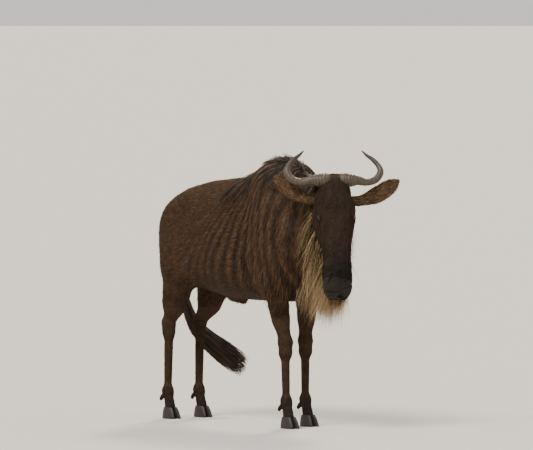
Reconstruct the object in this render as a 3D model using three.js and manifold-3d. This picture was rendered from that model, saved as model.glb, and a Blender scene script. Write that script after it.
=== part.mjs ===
// A bull wildebeest, life size, standing still with its head turned to its right.
// Millimetres. +X is forward, +Y is the animal's left, +Z is up and the hooves stand on z = 0.
import * as THREE from 'three';
import { mergeVertices } from 'three/addons/utils/BufferGeometryUtils.js';
import Module from 'manifold-3d';

const wasm = await Module();
wasm.setup();

const V = (x, y, z) => new THREE.Vector3(x, y, z);
const { clamp, lerp, degToRad } = THREE.MathUtils;

// Driving dimensions.
const GAP = 0.3; // between touching pieces
const CREST_HEIGHT = 1280; // skin at the withers
const BELLY_HEIGHT = 610; // lowest line of the chest
const BARREL_HALF_WIDTH = 224;
const HOCK_HEIGHT = 452;
const KNEE_HEIGHT = 392;
const FETLOCK_HEIGHT = 132;
const CORONET_HEIGHT = 58;
const HOOF_LENGTH = 96;
const EYE_RADIUS = 20;
const HEAD_YAW = degToRad(-31);
const HEAD_PITCH = degToRad(20); // the face leans this far from hanging straight down
const MANE_HEIGHT = 62;
const BEARD_LENGTH = 190;

// Smooth union of two distances, rounded over the width k.
const blend = (a, b, k) => {
  const h = Math.max(k - Math.abs(a - b), 0) / k;
  return Math.min(a, b) - (h * h * k) / 4;
};

// Catmull-Rom value through evenly spaced knots at position t, in knots.
const through = (values, t) => {
  const last = values.length - 1;
  const i = clamp(Math.floor(t), 0, last - 1);
  const f = clamp(t - i, 0, 1);
  const [a, b] = [values[i], values[i + 1]];
  const before = i > 0 ? values[i - 1] : 2 * a - b;
  const after = i < last - 1 ? values[i + 2] : 2 * b - a;
  const [m0, m1] = [(b - before) / 2, (after - a) / 2];
  const f2 = f * f;
  const f3 = f2 * f;
  return (2 * f3 - 3 * f2 + 1) * a + (f3 - 2 * f2 + f) * m0 + (3 * f2 - 2 * f3) * b + (f3 - f2) * m1;
};

// A body form swept along a spine. Each station has a centre, the reach of its section up, down and
// to the sides, and how square the section is (2 is an ellipse). upHint says which way is up.
const SPINE_SAMPLES = 48;
class Loft {
  constructor(stations, upHint) {
    const read = (key) => stations.map((s) => s[key]);
    const centres = read('at');
    const spans = stations.length - 1;
    const point = (t) => V(...['x', 'y', 'z'].map((k) => through(centres.map((c) => c[k]), t)));
    this.frames = Array.from({ length: SPINE_SAMPLES + 1 }, (_, i) => {
      const t = (i / SPINE_SAMPLES) * spans;
      const tangent = point(Math.min(t + 0.02, spans)).sub(point(Math.max(t - 0.02, 0))).normalize();
      const side = upHint.clone().cross(tangent).normalize();
      const up = tangent.clone().cross(side);
      const [high, low, wide, square] = ['up', 'down', 'wide', 'square'].map((k) => through(read(k), t));
      return { centre: point(t), tangent, side, up, high, low, wide, square };
    });
  }

  frameAt(share) {
    const t = clamp(share, 0, 1) * SPINE_SAMPLES;
    const i = Math.min(Math.floor(t), SPINE_SAMPLES - 1);
    const [a, b, f] = [this.frames[i], this.frames[i + 1], t - i];
    const mix = (key) => a[key].clone().lerp(b[key], f);
    const [tangent, side, up] = ['tangent', 'side', 'up'].map((k) => mix(k).normalize());
    return { centre: mix('centre'), tangent, side, up };
  }

  distance(p) {
    let best = 0;
    let near = Infinity;
    this.frames.forEach((f, i) => {
      const d = f.centre.distanceToSquared(p);
      if (d < near) [near, best] = [d, i];
    });
    const f = this.frames[best];
    const r = p.clone().sub(f.centre);
    const along = r.dot(f.tangent);
    const next = this.frames[clamp(best + Math.sign(along), 0, SPINE_SAMPLES)];
    const step = f.centre.distanceTo(next.centre);
    const w = step > 0 ? clamp(Math.abs(along) / step, 0, 1) : 0;
    const over = Math.max(0, Math.abs(along) - step);
    const v = r.dot(f.up) + (f === next ? 0 : w * (f.centre.clone().sub(next.centre).dot(f.up)));
    const u = r.dot(f.side) + (f === next ? 0 : w * (f.centre.clone().sub(next.centre).dot(f.side)));
    const [high, low, wide, n] = ['high', 'low', 'wide', 'square'].map((k) => lerp(f[k], next[k], w));
    const tall = v > 0 ? high : low;
    const across = Math.hypot(u, v);
    const ratio = ((Math.abs(u) / wide) ** n + (Math.abs(v) / tall) ** n) ** (1 / n);
    const d = ratio < 1e-6 ? -Math.min(wide, tall) : across * (1 - 1 / ratio);
    return over > 0 ? Math.hypot(over, Math.max(d, 0)) : d;
  }
}

// A tapering rounded muscle from a to b. flat under 1 squeezes it sideways.
const muscle = (a, b, ra, rb, soft = 40, flat = 1) => {
  const axis = b.clone().sub(a);
  const length2 = axis.lengthSq();
  return {
    soft,
    distance: (p) => {
      const t = length2 > 0 ? clamp(p.clone().sub(a).dot(axis) / length2, 0, 1) : 0;
      const dx = p.x - a.x - axis.x * t;
      const dy = (p.y - a.y - axis.y * t) / flat;
      const dz = p.z - a.z - axis.z * t;
      return (Math.hypot(dx, dy, dz) - lerp(ra, rb, t)) * Math.min(flat, 1);
    },
  };
};

// Trunk stations from the buttocks to the breast: x, top line, bottom line, half width, height of the
// widest place and squareness.
const trunkStation = (x, top, bottom, wide, middle, square) => ({
  at: V(x, 0, middle), up: top - middle, down: middle - bottom, wide, square,
});
const TRUNK = new Loft([
  trunkStation(-604, 1000, 850, 60, 925, 2),
  trunkStation(-545, 1096, 760, 122, 930, 2.1),
  trunkStation(-430, 1168, 690, 168, 925, 2.2),
  trunkStation(-300, 1202, 656, 194, 905, 2.2),
  trunkStation(-160, 1214, BELLY_HEIGHT + 18, 212, 880, 2.2),
  trunkStation(-20, 1220, BELLY_HEIGHT + 4, BARREL_HALF_WIDTH, 865, 2.2),
  trunkStation(120, 1236, BELLY_HEIGHT, 217, 865, 2.2),
  trunkStation(250, CREST_HEIGHT - 14, BELLY_HEIGHT, 190, 875, 2.15),
  trunkStation(380, CREST_HEIGHT - 12, BELLY_HEIGHT + 8, 166, 885, 2.1),
  trunkStation(490, 1190, 650, 130, 890, 2),
  trunkStation(570, 1050, 760, 78, 900, 2),
], V(0, 0, 1));

const HEAD_TOP = V(738, -48, 1205); // the middle of the skull at the horns
const headForward = V(Math.cos(HEAD_YAW), Math.sin(HEAD_YAW), 0);
const headLeft = V(-Math.sin(HEAD_YAW), Math.cos(HEAD_YAW), 0);
const downFace = headForward.clone().multiplyScalar(Math.sin(HEAD_PITCH)).add(V(0, 0, -Math.cos(HEAD_PITCH)));
const faceFront = headForward.clone().multiplyScalar(Math.cos(HEAD_PITCH)).add(V(0, 0, Math.sin(HEAD_PITCH)));
// A point of the head: down the face, out of its front, and out to the given side (+1 is its left).
const onHead = (down, front, out, side = 1) => HEAD_TOP.clone()
  .addScaledVector(downFace, down)
  .addScaledVector(faceFront, front)
  .addScaledVector(headLeft, out * side);

// Neck stations from inside the chest to the throat.
const NECK = new Loft([
  { at: V(300, 0, 975), up: 292, down: 255, wide: 165, square: 2 },
  { at: V(430, -2, 1000), up: 256, down: 238, wide: 142, square: 2 },
  { at: V(550, -12, 1035), up: 200, down: 200, wide: 112, square: 2 },
  { at: V(650, -28, 1075), up: 150, down: 158, wide: 92, square: 2 },
  { at: V(720, -44, 1115), up: 96, down: 118, wide: 80, square: 2 },
], V(-0.3, 0, 1).normalize());

// Head stations: down the face, reach of the face's front, reach back to the jaw, half width.
const headStation = (down, front, back, wide, square) => ({
  at: onHead(down, 0, 0), up: front, down: back, wide, square,
});
const HEAD = new Loft([
  headStation(-42, 20, 40, 44, 2),
  headStation(12, 58, 84, 72, 2.2),
  headStation(80, 78, 112, 80, 2.5),
  headStation(148, 84, 128, 84, 2.6),
  headStation(216, 82, 130, 80, 2.6),
  headStation(286, 76, 114, 74, 2.5),
  headStation(356, 68, 94, 68, 2.5),
  headStation(424, 60, 80, 66, 2.5),
  headStation(488, 54, 74, 72, 2.8),
  headStation(540, 42, 68, 72, 2.8),
  headStation(576, 12, 54, 54, 2.5),
], faceFront);

// Where each leg's joints stand. side is +1 for the left.
const foreStance = (side, elbowX, kneeX, fetlockX, footX, out) => ({
  side,
  blade: V(310, side * 95, 1130),
  shoulder: V(455, side * 112, 880),
  elbow: V(elbowX, side * 116, 716),
  knee: V(kneeX, side * (out + 6), KNEE_HEIGHT),
  fetlock: V(fetlockX, side * out, FETLOCK_HEIGHT),
  coronet: V(footX, side * out, CORONET_HEIGHT),
});
const hindStance = (side, hockX, fetlockX, footX, out) => ({
  side,
  hip: V(-440, side * 96, 970),
  buttock: V(-512, side * 76, 900),
  stifle: V(-410, side * 126, 725),
  hock: V(hockX, side * (out + 2), HOCK_HEIGHT),
  fetlock: V(fetlockX, side * out, FETLOCK_HEIGHT + 6),
  coronet: V(footX, side * out, CORONET_HEIGHT),
});
const FORE_RIGHT = foreStance(-1, 350, 409, 409, 428, 88);
const FORE_LEFT = foreStance(1, 315, 326, 334, 356, 86);
const HIND_RIGHT = hindStance(-1, -538, -552, -532, 102);
const HIND_LEFT = hindStance(1, -550, -556, -532, 94);

const between = (a, b, t) => a.clone().lerp(b, t);
const shifted = (p, x, y, z) => V(p.x + x, p.y + y, p.z + z);

const foreForms = (leg) => [
  muscle(leg.blade, between(leg.blade, leg.shoulder, 0.7), 88, 92, 90, 0.8),
  muscle(leg.shoulder, shifted(leg.elbow, 10, 0, 40), 92, 66, 80, 0.8),
  muscle(shifted(leg.elbow, -26, 0, 26), shifted(leg.elbow, 3, 0, -40), 42, 46, 40),
  muscle(shifted(leg.elbow, 2, 0, 10), between(leg.elbow, leg.knee, 0.55), 55, 43, 50, 0.82),
  muscle(between(leg.elbow, leg.knee, 0.4), shifted(leg.knee, 0, 0, 34), 46, 33, 40),
  muscle(shifted(leg.knee, 2, 0, 24), shifted(leg.knee, 2, 0, -22), 35, 32, 24),
  muscle(shifted(leg.knee, 0, 0, -20), leg.fetlock, 24, 20, 24, 0.86),
  muscle(leg.fetlock, shifted(leg.fetlock, 1, 0, -6), 27, 27, 20, 0.95),
  muscle(leg.fetlock, leg.coronet, 23, 27, 16, 0.95),
];
const hindForms = (leg) => [
  muscle(leg.hip, between(leg.hip, leg.stifle, 0.75), 118, 100, 90, 0.8),
  muscle(leg.buttock, between(leg.buttock, leg.stifle, 0.7), 72, 84, 70, 0.85),
  muscle(shifted(leg.buttock, 0, 0, -70), between(leg.stifle, leg.hock, 0.55), 58, 46, 60, 0.85),
  muscle(shifted(leg.stifle, 4, 0, 10), between(leg.stifle, leg.hock, 0.5), 84, 54, 60, 0.8),
  muscle(between(leg.stifle, leg.hock, 0.35), shifted(leg.hock, 4, 0, 16), 56, 31, 45, 0.85),
  muscle(shifted(leg.hock, -34, 0, 34), shifted(leg.hock, -12, 0, -12), 15, 24, 26),
  muscle(between(leg.stifle, leg.hock, 0.62).add(V(-58, 0, 10)), shifted(leg.hock, -34, 0, 30), 13, 13, 26),
  muscle(shifted(leg.hock, 0, 0, 12), shifted(leg.hock, 0, 0, -26), 32, 27, 24, 0.9),
  muscle(shifted(leg.hock, -2, 0, -24), leg.fetlock, 26, 21, 24, 0.84),
  muscle(leg.fetlock, shifted(leg.fetlock, 1, 0, -6), 27, 27, 20, 0.95),
  muscle(leg.fetlock, leg.coronet, 23, 27, 16, 0.95),
];

// Forms that stand out of the trunk, neck and head.
const pairForms = (make) => [make(-1), make(1)];
const TRUNK_FORMS = [
  muscle(V(250, 0, CREST_HEIGHT - 70), V(360, 0, CREST_HEIGHT - 62), 52, 60, 90, 0.7),
  muscle(V(-130, 0, BELLY_HEIGHT + 20), V(-56, 0, BELLY_HEIGHT - 8), 34, 18, 44),
  ...pairForms((side) => muscle(V(-300, side * 128, 1098), V(-340, side * 118, 1098), 34, 34, 80)),
];
const HEAD_FORMS = [
  ...pairForms((side) => muscle(onHead(128, 32, 62, side), onHead(152, 30, 66, side), 30, 28, 26)), // brows
  ...pairForms((side) => muscle(onHead(180, -68, 44, side), onHead(240, -66, 40, side), 56, 44, 50)), // cheeks
  ...pairForms((side) => muscle(onHead(440, 24, 48, side), onHead(466, 18, 51, side), 25, 24, 24)), // nostrils
  muscle(onHead(452, -42, 0), onHead(484, -44, 0), 36, 26, 30), // chin
];

const FORMS = [
  { soft: 90, distance: (p) => NECK.distance(p) },
  { soft: 60, distance: (p) => HEAD.distance(p) },
  ...TRUNK_FORMS,
  ...HEAD_FORMS,
  ...[FORE_RIGHT, FORE_LEFT].flatMap(foreForms),
  ...[HIND_RIGHT, HIND_LEFT].flatMap(hindForms),
];

// Distance from the skin of the whole body, below zero inside.
const skin = (p) => FORMS.reduce((d, form) => blend(d, form.distance(p), form.soft), TRUNK.distance(p));

// How far the skin lies from an inside point along a direction, and no further than limit.
const MARCH = 14;
const reach = (from, along, limit) => {
  const at = (r) => skin(from.clone().addScaledVector(along, r));
  let inner = 0;
  while (inner + MARCH < limit && at(inner + MARCH) < 0) inner += MARCH;
  let outer = Math.min(inner + MARCH, limit);
  if (at(outer) < 0) return outer;
  for (let i = 0; i < 12; i += 1) {
    const middle = (inner + outer) / 2;
    if (at(middle) < 0) inner = middle;
    else outer = middle;
  }
  return Math.max(inner, 1);
};

// A closed solid from rings of points, with a fan at each end to a pole.
const solidOf = (positions, faces) => {
  const geometry = new THREE.BufferGeometry();
  const numbers = positions.flatMap((p) => [p.x, p.y, p.z]);
  geometry.setAttribute('position', new THREE.Float32BufferAttribute(numbers, 3));
  geometry.setIndex(faces);
  const merged = mergeVertices(geometry, 1e-3);
  const triVerts = new Uint32Array(merged.index.array);
  const build = () => new wasm.Manifold(new wasm.Mesh({
    numProp: 3, vertProperties: merged.attributes.position.array, triVerts,
  }));
  const made = build();
  if (made.volume() > 0) return made;
  for (let i = 0; i < triVerts.length; i += 3) {
    [triVerts[i], triVerts[i + 1]] = [triVerts[i + 1], triVerts[i]];
  }
  return build();
};
const solidFromRings = (rings, startPole, endPole) => {
  const n = rings[0].length;
  const positions = [...rings.flat(), startPole, endPole];
  const [start, end] = [positions.length - 2, positions.length - 1];
  const faces = [];
  rings.forEach((_, i) => {
    for (let j = 0; j < n; j += 1) {
      const k = (j + 1) % n;
      const [a, b] = [i * n + j, i * n + k];
      if (i === 0) faces.push(start, b, a);
      if (i === rings.length - 1) faces.push(end, a, b);
      else faces.push(a, b, b + n, a, b + n, a + n);
    }
  });
  return solidOf(positions, faces);
};
const centreOf = (ring) => ring.reduce((sum, p) => sum.add(p), V(0, 0, 0)).divideScalar(ring.length);

// The skin wrapped round a spine: one ring at each share of its length, and a rounded or flat end.
const wrap = (frames, spokes, limit, round = [false, false]) => {
  const ringAt = ({ centre, side, up }) => Array.from({ length: spokes }, (_, j) => {
    const angle = ((j + 0.5) / spokes) * 2 * Math.PI;
    const out = up.clone().multiplyScalar(Math.cos(angle)).addScaledVector(side, Math.sin(angle));
    return centre.clone().addScaledVector(out, reach(centre, out, limit(angle, centre)));
  });
  const cap = (frame, sign) => {
    const ahead = frame.tangent.clone().multiplyScalar(sign);
    const length = reach(frame.centre, ahead, 400);
    const rings = [0.42, 0.72, 0.9, 0.98].map((share) => ringAt({
      ...frame, centre: frame.centre.clone().addScaledVector(ahead, length * share),
    }));
    return { rings, pole: frame.centre.clone().addScaledVector(ahead, length) };
  };
  const rings = frames.map(ringAt);
  const first = round[0] ? cap(frames[0], -1) : { rings: [], pole: centreOf(rings[0]) };
  const last = round[1] ? cap(frames.at(-1), 1) : { rings: [], pole: centreOf(rings.at(-1)) };
  return solidFromRings([...first.rings.reverse(), ...rings, ...last.rings], first.pole, last.pole);
};
const framesAlong = (loft, shares) => shares.map((share) => loft.frameAt(share));
const steps = (from, to, count) => Array.from({ length: count + 1 }, (_, i) => lerp(from, to, i / count));

// Booleans that keep only the largest closed surface.
const largest = (solid) => solid.decompose().reduce((a, b) => (b.volume() > a.volume() ? b : a));
const fuse = (solids) => largest(solids.reduce((a, b) => a.add(b)));

// A solid ball or ellipsoid, from a three.js sphere.
const solidFromGeometry = (geometry) => {
  const bare = geometry.clone();
  ['normal', 'uv'].forEach((name) => bare.deleteAttribute(name));
  const merged = mergeVertices(bare, 1e-3);
  return new wasm.Manifold(new wasm.Mesh({
    numProp: 3,
    vertProperties: merged.attributes.position.array,
    triVerts: new Uint32Array(merged.index.array),
  }));
};
const ellipsoid = (centre, rx, ry, rz, detail = 16, turn = new THREE.Quaternion()) => solidFromGeometry(
  new THREE.SphereGeometry(1, detail, Math.round(detail * 0.7)).applyMatrix4(
    new THREE.Matrix4().compose(centre, turn, V(rx, ry, rz)),
  ),
);
// Everything on the far side of a plane, as a big slab starting there.
const SLAB = 3000;
const beyond = (point, normal) => {
  const slab = new THREE.BoxGeometry(SLAB, SLAB, SLAB);
  slab.translate(0, 0, SLAB / 2);
  const turn = new THREE.Quaternion().setFromUnitVectors(V(0, 0, 1), normal);
  return solidFromGeometry(slab.applyMatrix4(new THREE.Matrix4().compose(point, turn, V(1, 1, 1))));
};
// The part of a solid between two planes, each kept half a gap away. Normals point onwards.
const slice = (solid, start, end) => {
  let kept = solid;
  if (start) {
    const face = start.point.clone().addScaledVector(start.normal, GAP / 2);
    kept = kept.subtract(beyond(face, start.normal.clone().negate()));
  }
  if (end) kept = kept.subtract(beyond(end.point.clone().addScaledVector(end.normal, -GAP / 2), end.normal));
  return largest(kept);
};

// The cuts between trunk, neck and head.
const NECK_CUT = { point: V(455, 0, 980), normal: V(0.96, 0, 0.28).normalize() };
const HEAD_CUT = { point: onHead(92, -92, 0), normal: V(0.2, -0.13, -0.03).add(faceFront).normalize() };

// The cut round the top of each leg: a ball over the muscle, a drum through the belly line and
// everything below.
const FORE_TOP = { at: V(332, 166, 830), ball: V(128, 96, 176), drum: V(338, 112, 0), wide: V(100, 70, 0) };
const HIND_TOP = { at: V(-462, 168, 820), ball: V(158, 104, 215), drum: V(-492, 112, 0), wide: V(132, 92, 0) };
const BELOW_BELLY = 585;
const legTop = (side, top, grow) => {
  const ball = ellipsoid(
    V(top.at.x, side * top.at.y, top.at.z),
    top.ball.x + grow, top.ball.y + grow, top.ball.z + grow, 16,
  );
  const drum = new THREE.CylinderGeometry(1, 1, 240, 18).rotateX(Math.PI / 2)
    .scale(top.wide.x + grow, top.wide.y + grow, 1).translate(top.drum.x, side * top.drum.y, 700);
  const below = new THREE.BoxGeometry(600 + 2 * grow, 300, BELOW_BELLY + 2 * grow)
    .translate(top.at.x, side * 155, BELOW_BELLY / 2);
  return ball.add(solidFromGeometry(drum)).add(solidFromGeometry(below));
};

const makeTrunk = () => {
  const limit = (angle, centre) => {
    const drop = -Math.cos(angle);
    return drop > 0.1 ? Math.min(420, (centre.z - BELLY_HEIGHT + 42) / drop) : 520;
  };
  const whole = wrap(framesAlong(TRUNK, [0.03, ...steps(0.07, 0.93, 17), 0.97]), 22, limit, [true, true]);
  const legless = [[FORE_TOP, 1], [FORE_TOP, -1], [HIND_TOP, 1], [HIND_TOP, -1]]
    .reduce((solid, [top, side]) => solid.subtract(legTop(side, top, GAP)), whole);
  return slice(legless, null, NECK_CUT);
};

// A round tube along a smooth line, tapering through the given radii. hint is never along the line.
const tube = (points, radii, spokes, count, hint, grow = 0) => {
  const line = new THREE.CatmullRomCurve3(points, false, 'centripetal');
  const rings = steps(0, 1, count).map((t) => {
    const tangent = line.getTangent(t);
    const centre = line.getPoint(t).addScaledVector(tangent, (t === 0 ? -grow : 0) + (t === 1 ? grow : 0));
    const across = hint.clone().cross(tangent).normalize();
    const up = tangent.clone().cross(across);
    const r = through(radii, t * (radii.length - 1)) + grow;
    return Array.from({ length: spokes }, (_, j) => {
      const angle = (j / spokes) * 2 * Math.PI;
      return centre.clone().addScaledVector(across, r * Math.cos(angle))
        .addScaledVector(up, r * Math.sin(angle));
    });
  });
  return solidFromRings(rings, centreOf(rings[0]), centreOf(rings.at(-1)));
};

// Horns: down the face, out of its front, out to the side and radius, from boss to tip.
const HORN = [
  [-8, 22, 16, 26], [-6, 24, 42, 35], [-4, 24, 76, 33], [-4, 22, 112, 25], [4, 18, 156, 19],
  [-9, 14, 200, 18.5], [-45, 10, 226, 17.5], [-80, 6, 221, 14], [-116, 2, 194, 11], [-139, 0, 165, 7.5],
  [-165, -2, 140, 2.5],
];
const makeHorn = (side, grow = 0) => tube(
  HORN.map(([down, front, out]) => onHead(down, front, out, side)),
  HORN.map(([, , , radius]) => radius), 10, 16, faceFront, grow,
);

// Ears: down the face, out of its front, out to the side, half width, depth of the cup, thickness.
const EAR_LEFT = [
  [84, -34, 62, 20, 19, 30], [84, -30, 98, 22, 20, 32], [84, -22, 134, 25, 20, 24], [66, -10, 196, 38, 20, 7],
  [36, 2, 252, 37, 15, 6], [10, 8, 290, 24, 8, 5], [-8, 12, 318, 5, 2, 4],
];
const EAR_RIGHT = [
  [78, -36, 62, 20, 19, 30], [76, -38, 98, 22, 20, 32], [68, -42, 134, 25, 20, 24], [34, -46, 190, 39, 20, 7],
  [-2, -48, 236, 37, 15, 6], [-30, -48, 262, 24, 8, 5], [-50, -48, 280, 5, 2, 4],
];
const EAR_FACING = faceFront.clone().addScaledVector(downFace, 0.25).normalize();
const makeEar = (side, table, grow = 0) => {
  const places = table.map(([s, f, l]) => onHead(s, f, l, side));
  const line = new THREE.CatmullRomCurve3(places, false, 'centripetal');
  const rings = steps(0, 1, 9).map((t) => {
    const tangent = line.getTangent(t);
    const centre = line.getPoint(t).addScaledVector(tangent, t === 0 ? -grow : 0);
    const wideWay = EAR_FACING.clone().cross(tangent).normalize();
    const backWay = wideWay.clone().cross(tangent).normalize();
    if (backWay.dot(EAR_FACING) > 0) backWay.negate();
    const at = t * (table.length - 1);
    const [wide, cup, thick] = [3, 4, 5].map((k) => through(table.map((row) => row[k]), at));
    const arc = (w, d, from, to) => steps(from, to, 7).map((angle) => centre.clone()
      .addScaledVector(wideWay, w * Math.sin(angle)).addScaledVector(backWay, d * Math.cos(angle)));
    const outer = arc(wide + grow, cup + grow, -Math.PI / 2, Math.PI / 2);
    const inner = arc(wide - 1 + grow, cup - thick - grow, 1.45, -1.45);
    return [...outer, ...inner];
  });
  return solidFromRings(rings, centreOf(rings[0]), line.getPoint(1));
};

// The eye is a ball set into the head, under a lid with an almond opening.
const EYE = { down: 186, front: 34, out: 72 };
const eyeCentre = (side) => onHead(EYE.down, EYE.front, EYE.out, side);
const eyeAxis = (side) => headLeft.clone().multiplyScalar(side * 0.9)
  .addScaledVector(faceFront, 0.42).normalize();
const makeEye = (side, grow = 0) => ellipsoid(
  eyeCentre(side), EYE_RADIUS + grow, EYE_RADIUS + grow, EYE_RADIUS + grow, 12,
);
const eyeOpening = (side) => {
  const turn = new THREE.Quaternion().setFromUnitVectors(V(0, 0, 1), eyeAxis(side));
  const long = downFace.clone().applyQuaternion(turn.clone().invert());
  const roll = new THREE.Quaternion().setFromAxisAngle(V(0, 0, 1), Math.atan2(long.y, long.x) + side * 0.3);
  const middle = eyeCentre(side).addScaledVector(eyeAxis(side), EYE_RADIUS + 4);
  return ellipsoid(middle, 17, 9.5, 13, 10, turn.multiply(roll));
};

// The mouth is a groove from corner to corner, the nostrils are pockets.
const MOUTH = { corner: [500, -26], front: [574, 30], depth: 12 };
const makeMouth = () => {
  const [corner, front] = [onHead(...MOUTH.corner, 0), onHead(...MOUTH.front, 0)];
  const forward = front.clone().sub(corner).normalize();
  const normal = headLeft.clone().cross(forward);
  const basis = new THREE.Matrix4().makeBasis(headLeft, forward, normal);
  const turn = new THREE.Quaternion().setFromRotationMatrix(basis);
  const middle = between(corner, front, 0.25);
  const disc = ellipsoid(middle, 88, 84, 3, 14, turn);
  const core = ellipsoid(middle, 60, 62, 12, 10, turn);
  return disc.subtract(core).subtract(beyond(corner, forward.clone().negate()));
};
const makeNostril = (side) => ellipsoid(
  onHead(512, 52, 38, side), 15, 9, 13, 8,
  new THREE.Quaternion().setFromAxisAngle(faceFront, side * 0.5),
);

// Seeded random numbers, the same on every run.
const randomFrom = (seed) => {
  let state = seed;
  return (low = 0, high = 1) => {
    state = (Math.imul(state, 1664525) + 1013904223) >>> 0;
    return low + (high - low) * (state / 4294967296);
  };
};

// A flat tapering lock along a path, with its flat side towards facing. Its last point is the tip.
const LOCK_TAPER = [0.8, 1, 0.75];
const makeLock = (path, width, thickness, facing) => {
  const rings = path.slice(0, -1).map((centre, i) => {
    const tangent = path[i + 1].clone().sub(path[Math.max(i - 1, 0)]).normalize();
    const side = tangent.clone().cross(facing).normalize();
    const up = side.clone().cross(tangent);
    const [w, h] = [(width / 2) * LOCK_TAPER[i], (thickness / 2) * LOCK_TAPER[i]];
    return [[w, 0], [0, h], [-w, 0], [0, -h]].map(([a, b]) => centre.clone()
      .addScaledVector(side, a).addScaledVector(up, b));
  });
  return solidFromRings(rings, centreOf(rings[0]), path.at(-1));
};

// A path that leaves along start and bends down under its weight.
const hang = (root, start, length, droop) => {
  const path = [root];
  const way = start.clone().normalize();
  LOCK_TAPER.forEach(() => {
    way.add(V(0, 0, -droop / LOCK_TAPER.length)).normalize();
    path.push(path.at(-1).clone().addScaledVector(way, length / LOCK_TAPER.length));
  });
  return path;
};

// Cores of the long hair, about half way out to the tips: beard, throat fringe and mane.
const BEARD_CORE = new Loft([
  { at: onHead(582, -42, 0), up: 12, down: 24, wide: 20, square: 2 },
  { at: onHead(552, -60, 0), up: 30, down: 66, wide: 34, square: 2 },
  { at: onHead(490, -72, 0), up: 40, down: 92, wide: 40, square: 2 },
  { at: onHead(400, -80, 0), up: 50, down: 86, wide: 38, square: 2 },
  { at: onHead(310, -92, 0), up: 60, down: 70, wide: 34, square: 2 },
], V(0, 0, 1));
const FRINGE_CORE = new Loft([
  { at: V(676, -22, 930), up: 60, down: 70, wide: 34, square: 2 },
  { at: V(620, -14, 880), up: 60, down: 86, wide: 36, square: 2 },
  { at: V(560, -4, 820), up: 60, down: 84, wide: 36, square: 2 },
  { at: V(500, 0, 760), up: 60, down: 60, wide: 32, square: 2 },
], V(0, 0, 1));
const MANE_CORE = new Loft([
  { at: V(250, 0, 1240), up: 34, down: 60, wide: 30, square: 2 },
  { at: V(340, 0, 1246), up: 44, down: 60, wide: 34, square: 2 },
  { at: V(440, -2, 1232), up: 38, down: 60, wide: 34, square: 2 },
  { at: V(540, -10, 1206), up: 34, down: 60, wide: 34, square: 2 },
  { at: V(640, -26, 1180), up: 34, down: 50, wide: 32, square: 2 },
  { at: V(708, -42, 1164), up: 30, down: 40, wide: 26, square: 2 },
], V(0, 0, 1));

// The mane: locks in three rows that lean back and fall a little to both sides.
const MANE_ROWS = [[-1, 14], [0, 0], [1, 14]];
const makeMane = () => {
  const random = randomFrom(11);
  return MANE_ROWS.flatMap(([lean, off], row) => steps(0, 1, 9).map((share) => {
    const at = MANE_CORE.frameAt(clamp(share + (row % 2) / 24, 0, 1));
    const root = shifted(at.centre, 0, lean * off, 6);
    const start = V(-0.6 + random(-0.12, 0.12), lean * random(0.3, 0.5), 1);
    const longer = (share > 0.1 && share < 0.45 ? 1.2 : 1) * (share > 0.94 ? 0.8 : 1);
    const length = MANE_HEIGHT * random(1.5, 1.8) * longer;
    const path = hang(root, start, length, 0.4 + Math.abs(lean) * 0.5);
    return makeLock(path, random(30, 38), 10, V(-1, lean * 0.6, 0));
  }));
};

// Hair that hangs from a line of the jaw or throat, in rows from side to side.
const HANGING_ROWS = [-1, 0, 1];
const BEARD_SWEEP = headLeft.clone().multiplyScalar(-0.3).addScaledVector(headForward, -0.25);
const makeHanging = (core, lengths, halfWidth, count, seed) => {
  const random = randomFrom(seed);
  return HANGING_ROWS.flatMap((out, row) => steps(0.02, 0.98, count).map((share) => {
    const at = core.frameAt(clamp(share + (row % 2) * (0.5 / count), 0, 1));
    const root = at.centre.clone().addScaledVector(at.side, out * halfWidth).add(V(0, 0, -18));
    const start = at.side.clone().multiplyScalar(out * 0.3).add(BEARD_SWEEP)
      .addScaledVector(at.tangent, random(-0.1, 0.1));
    const length = through(lengths, share * (lengths.length - 1)) * random(0.82, 1.05);
    const facing = at.side.clone().multiplyScalar(out < 0 ? -1 : 1);
    return makeLock(hang(root, start.add(V(0, 0, -1)), length, 1.2), random(27, 34), 10, facing);
  }));
};
const BEARD_LENGTHS = [60, ...[0.85, 1.3, 1.35, 1.15].map((share) => BEARD_LENGTH * share)];
const makeBeard = () => makeHanging(BEARD_CORE, BEARD_LENGTHS, 24, 6, 23);
const makeFringe = () => makeHanging(
  FRINGE_CORE, [BEARD_LENGTH * 1.2, BEARD_LENGTH * 1.2, BEARD_LENGTH, BEARD_LENGTH * 0.6], 24, 6, 31,
);
const plainForm = (loft, spokes, count) => {
  const rings = loft.frames.filter((_, i) => i % Math.round(SPINE_SAMPLES / count) === 0)
    .map((f) => Array.from({ length: spokes }, (_, j) => {
      const angle = ((j + 0.5) / spokes) * 2 * Math.PI;
      const [across, high] = [Math.sin(angle) * f.wide, Math.cos(angle)];
      return f.centre.clone().addScaledVector(f.side, across)
        .addScaledVector(f.up, high * (high > 0 ? f.high : f.low));
    }));
  return solidFromRings(rings, centreOf(rings[0]), centreOf(rings.at(-1)));
};

const mane = fuse([plainForm(MANE_CORE, 10, 12), ...makeMane()]);
const makeNeck = () => {
  const bare = wrap(framesAlong(NECK, steps(0.12, 1, 11)), 22, () => 330);
  const fringe = fuse([plainForm(FRINGE_CORE, 10, 6), ...makeFringe()]);
  return slice(fuse([bare, mane, fringe]), NECK_CUT, HEAD_CUT);
};

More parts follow.
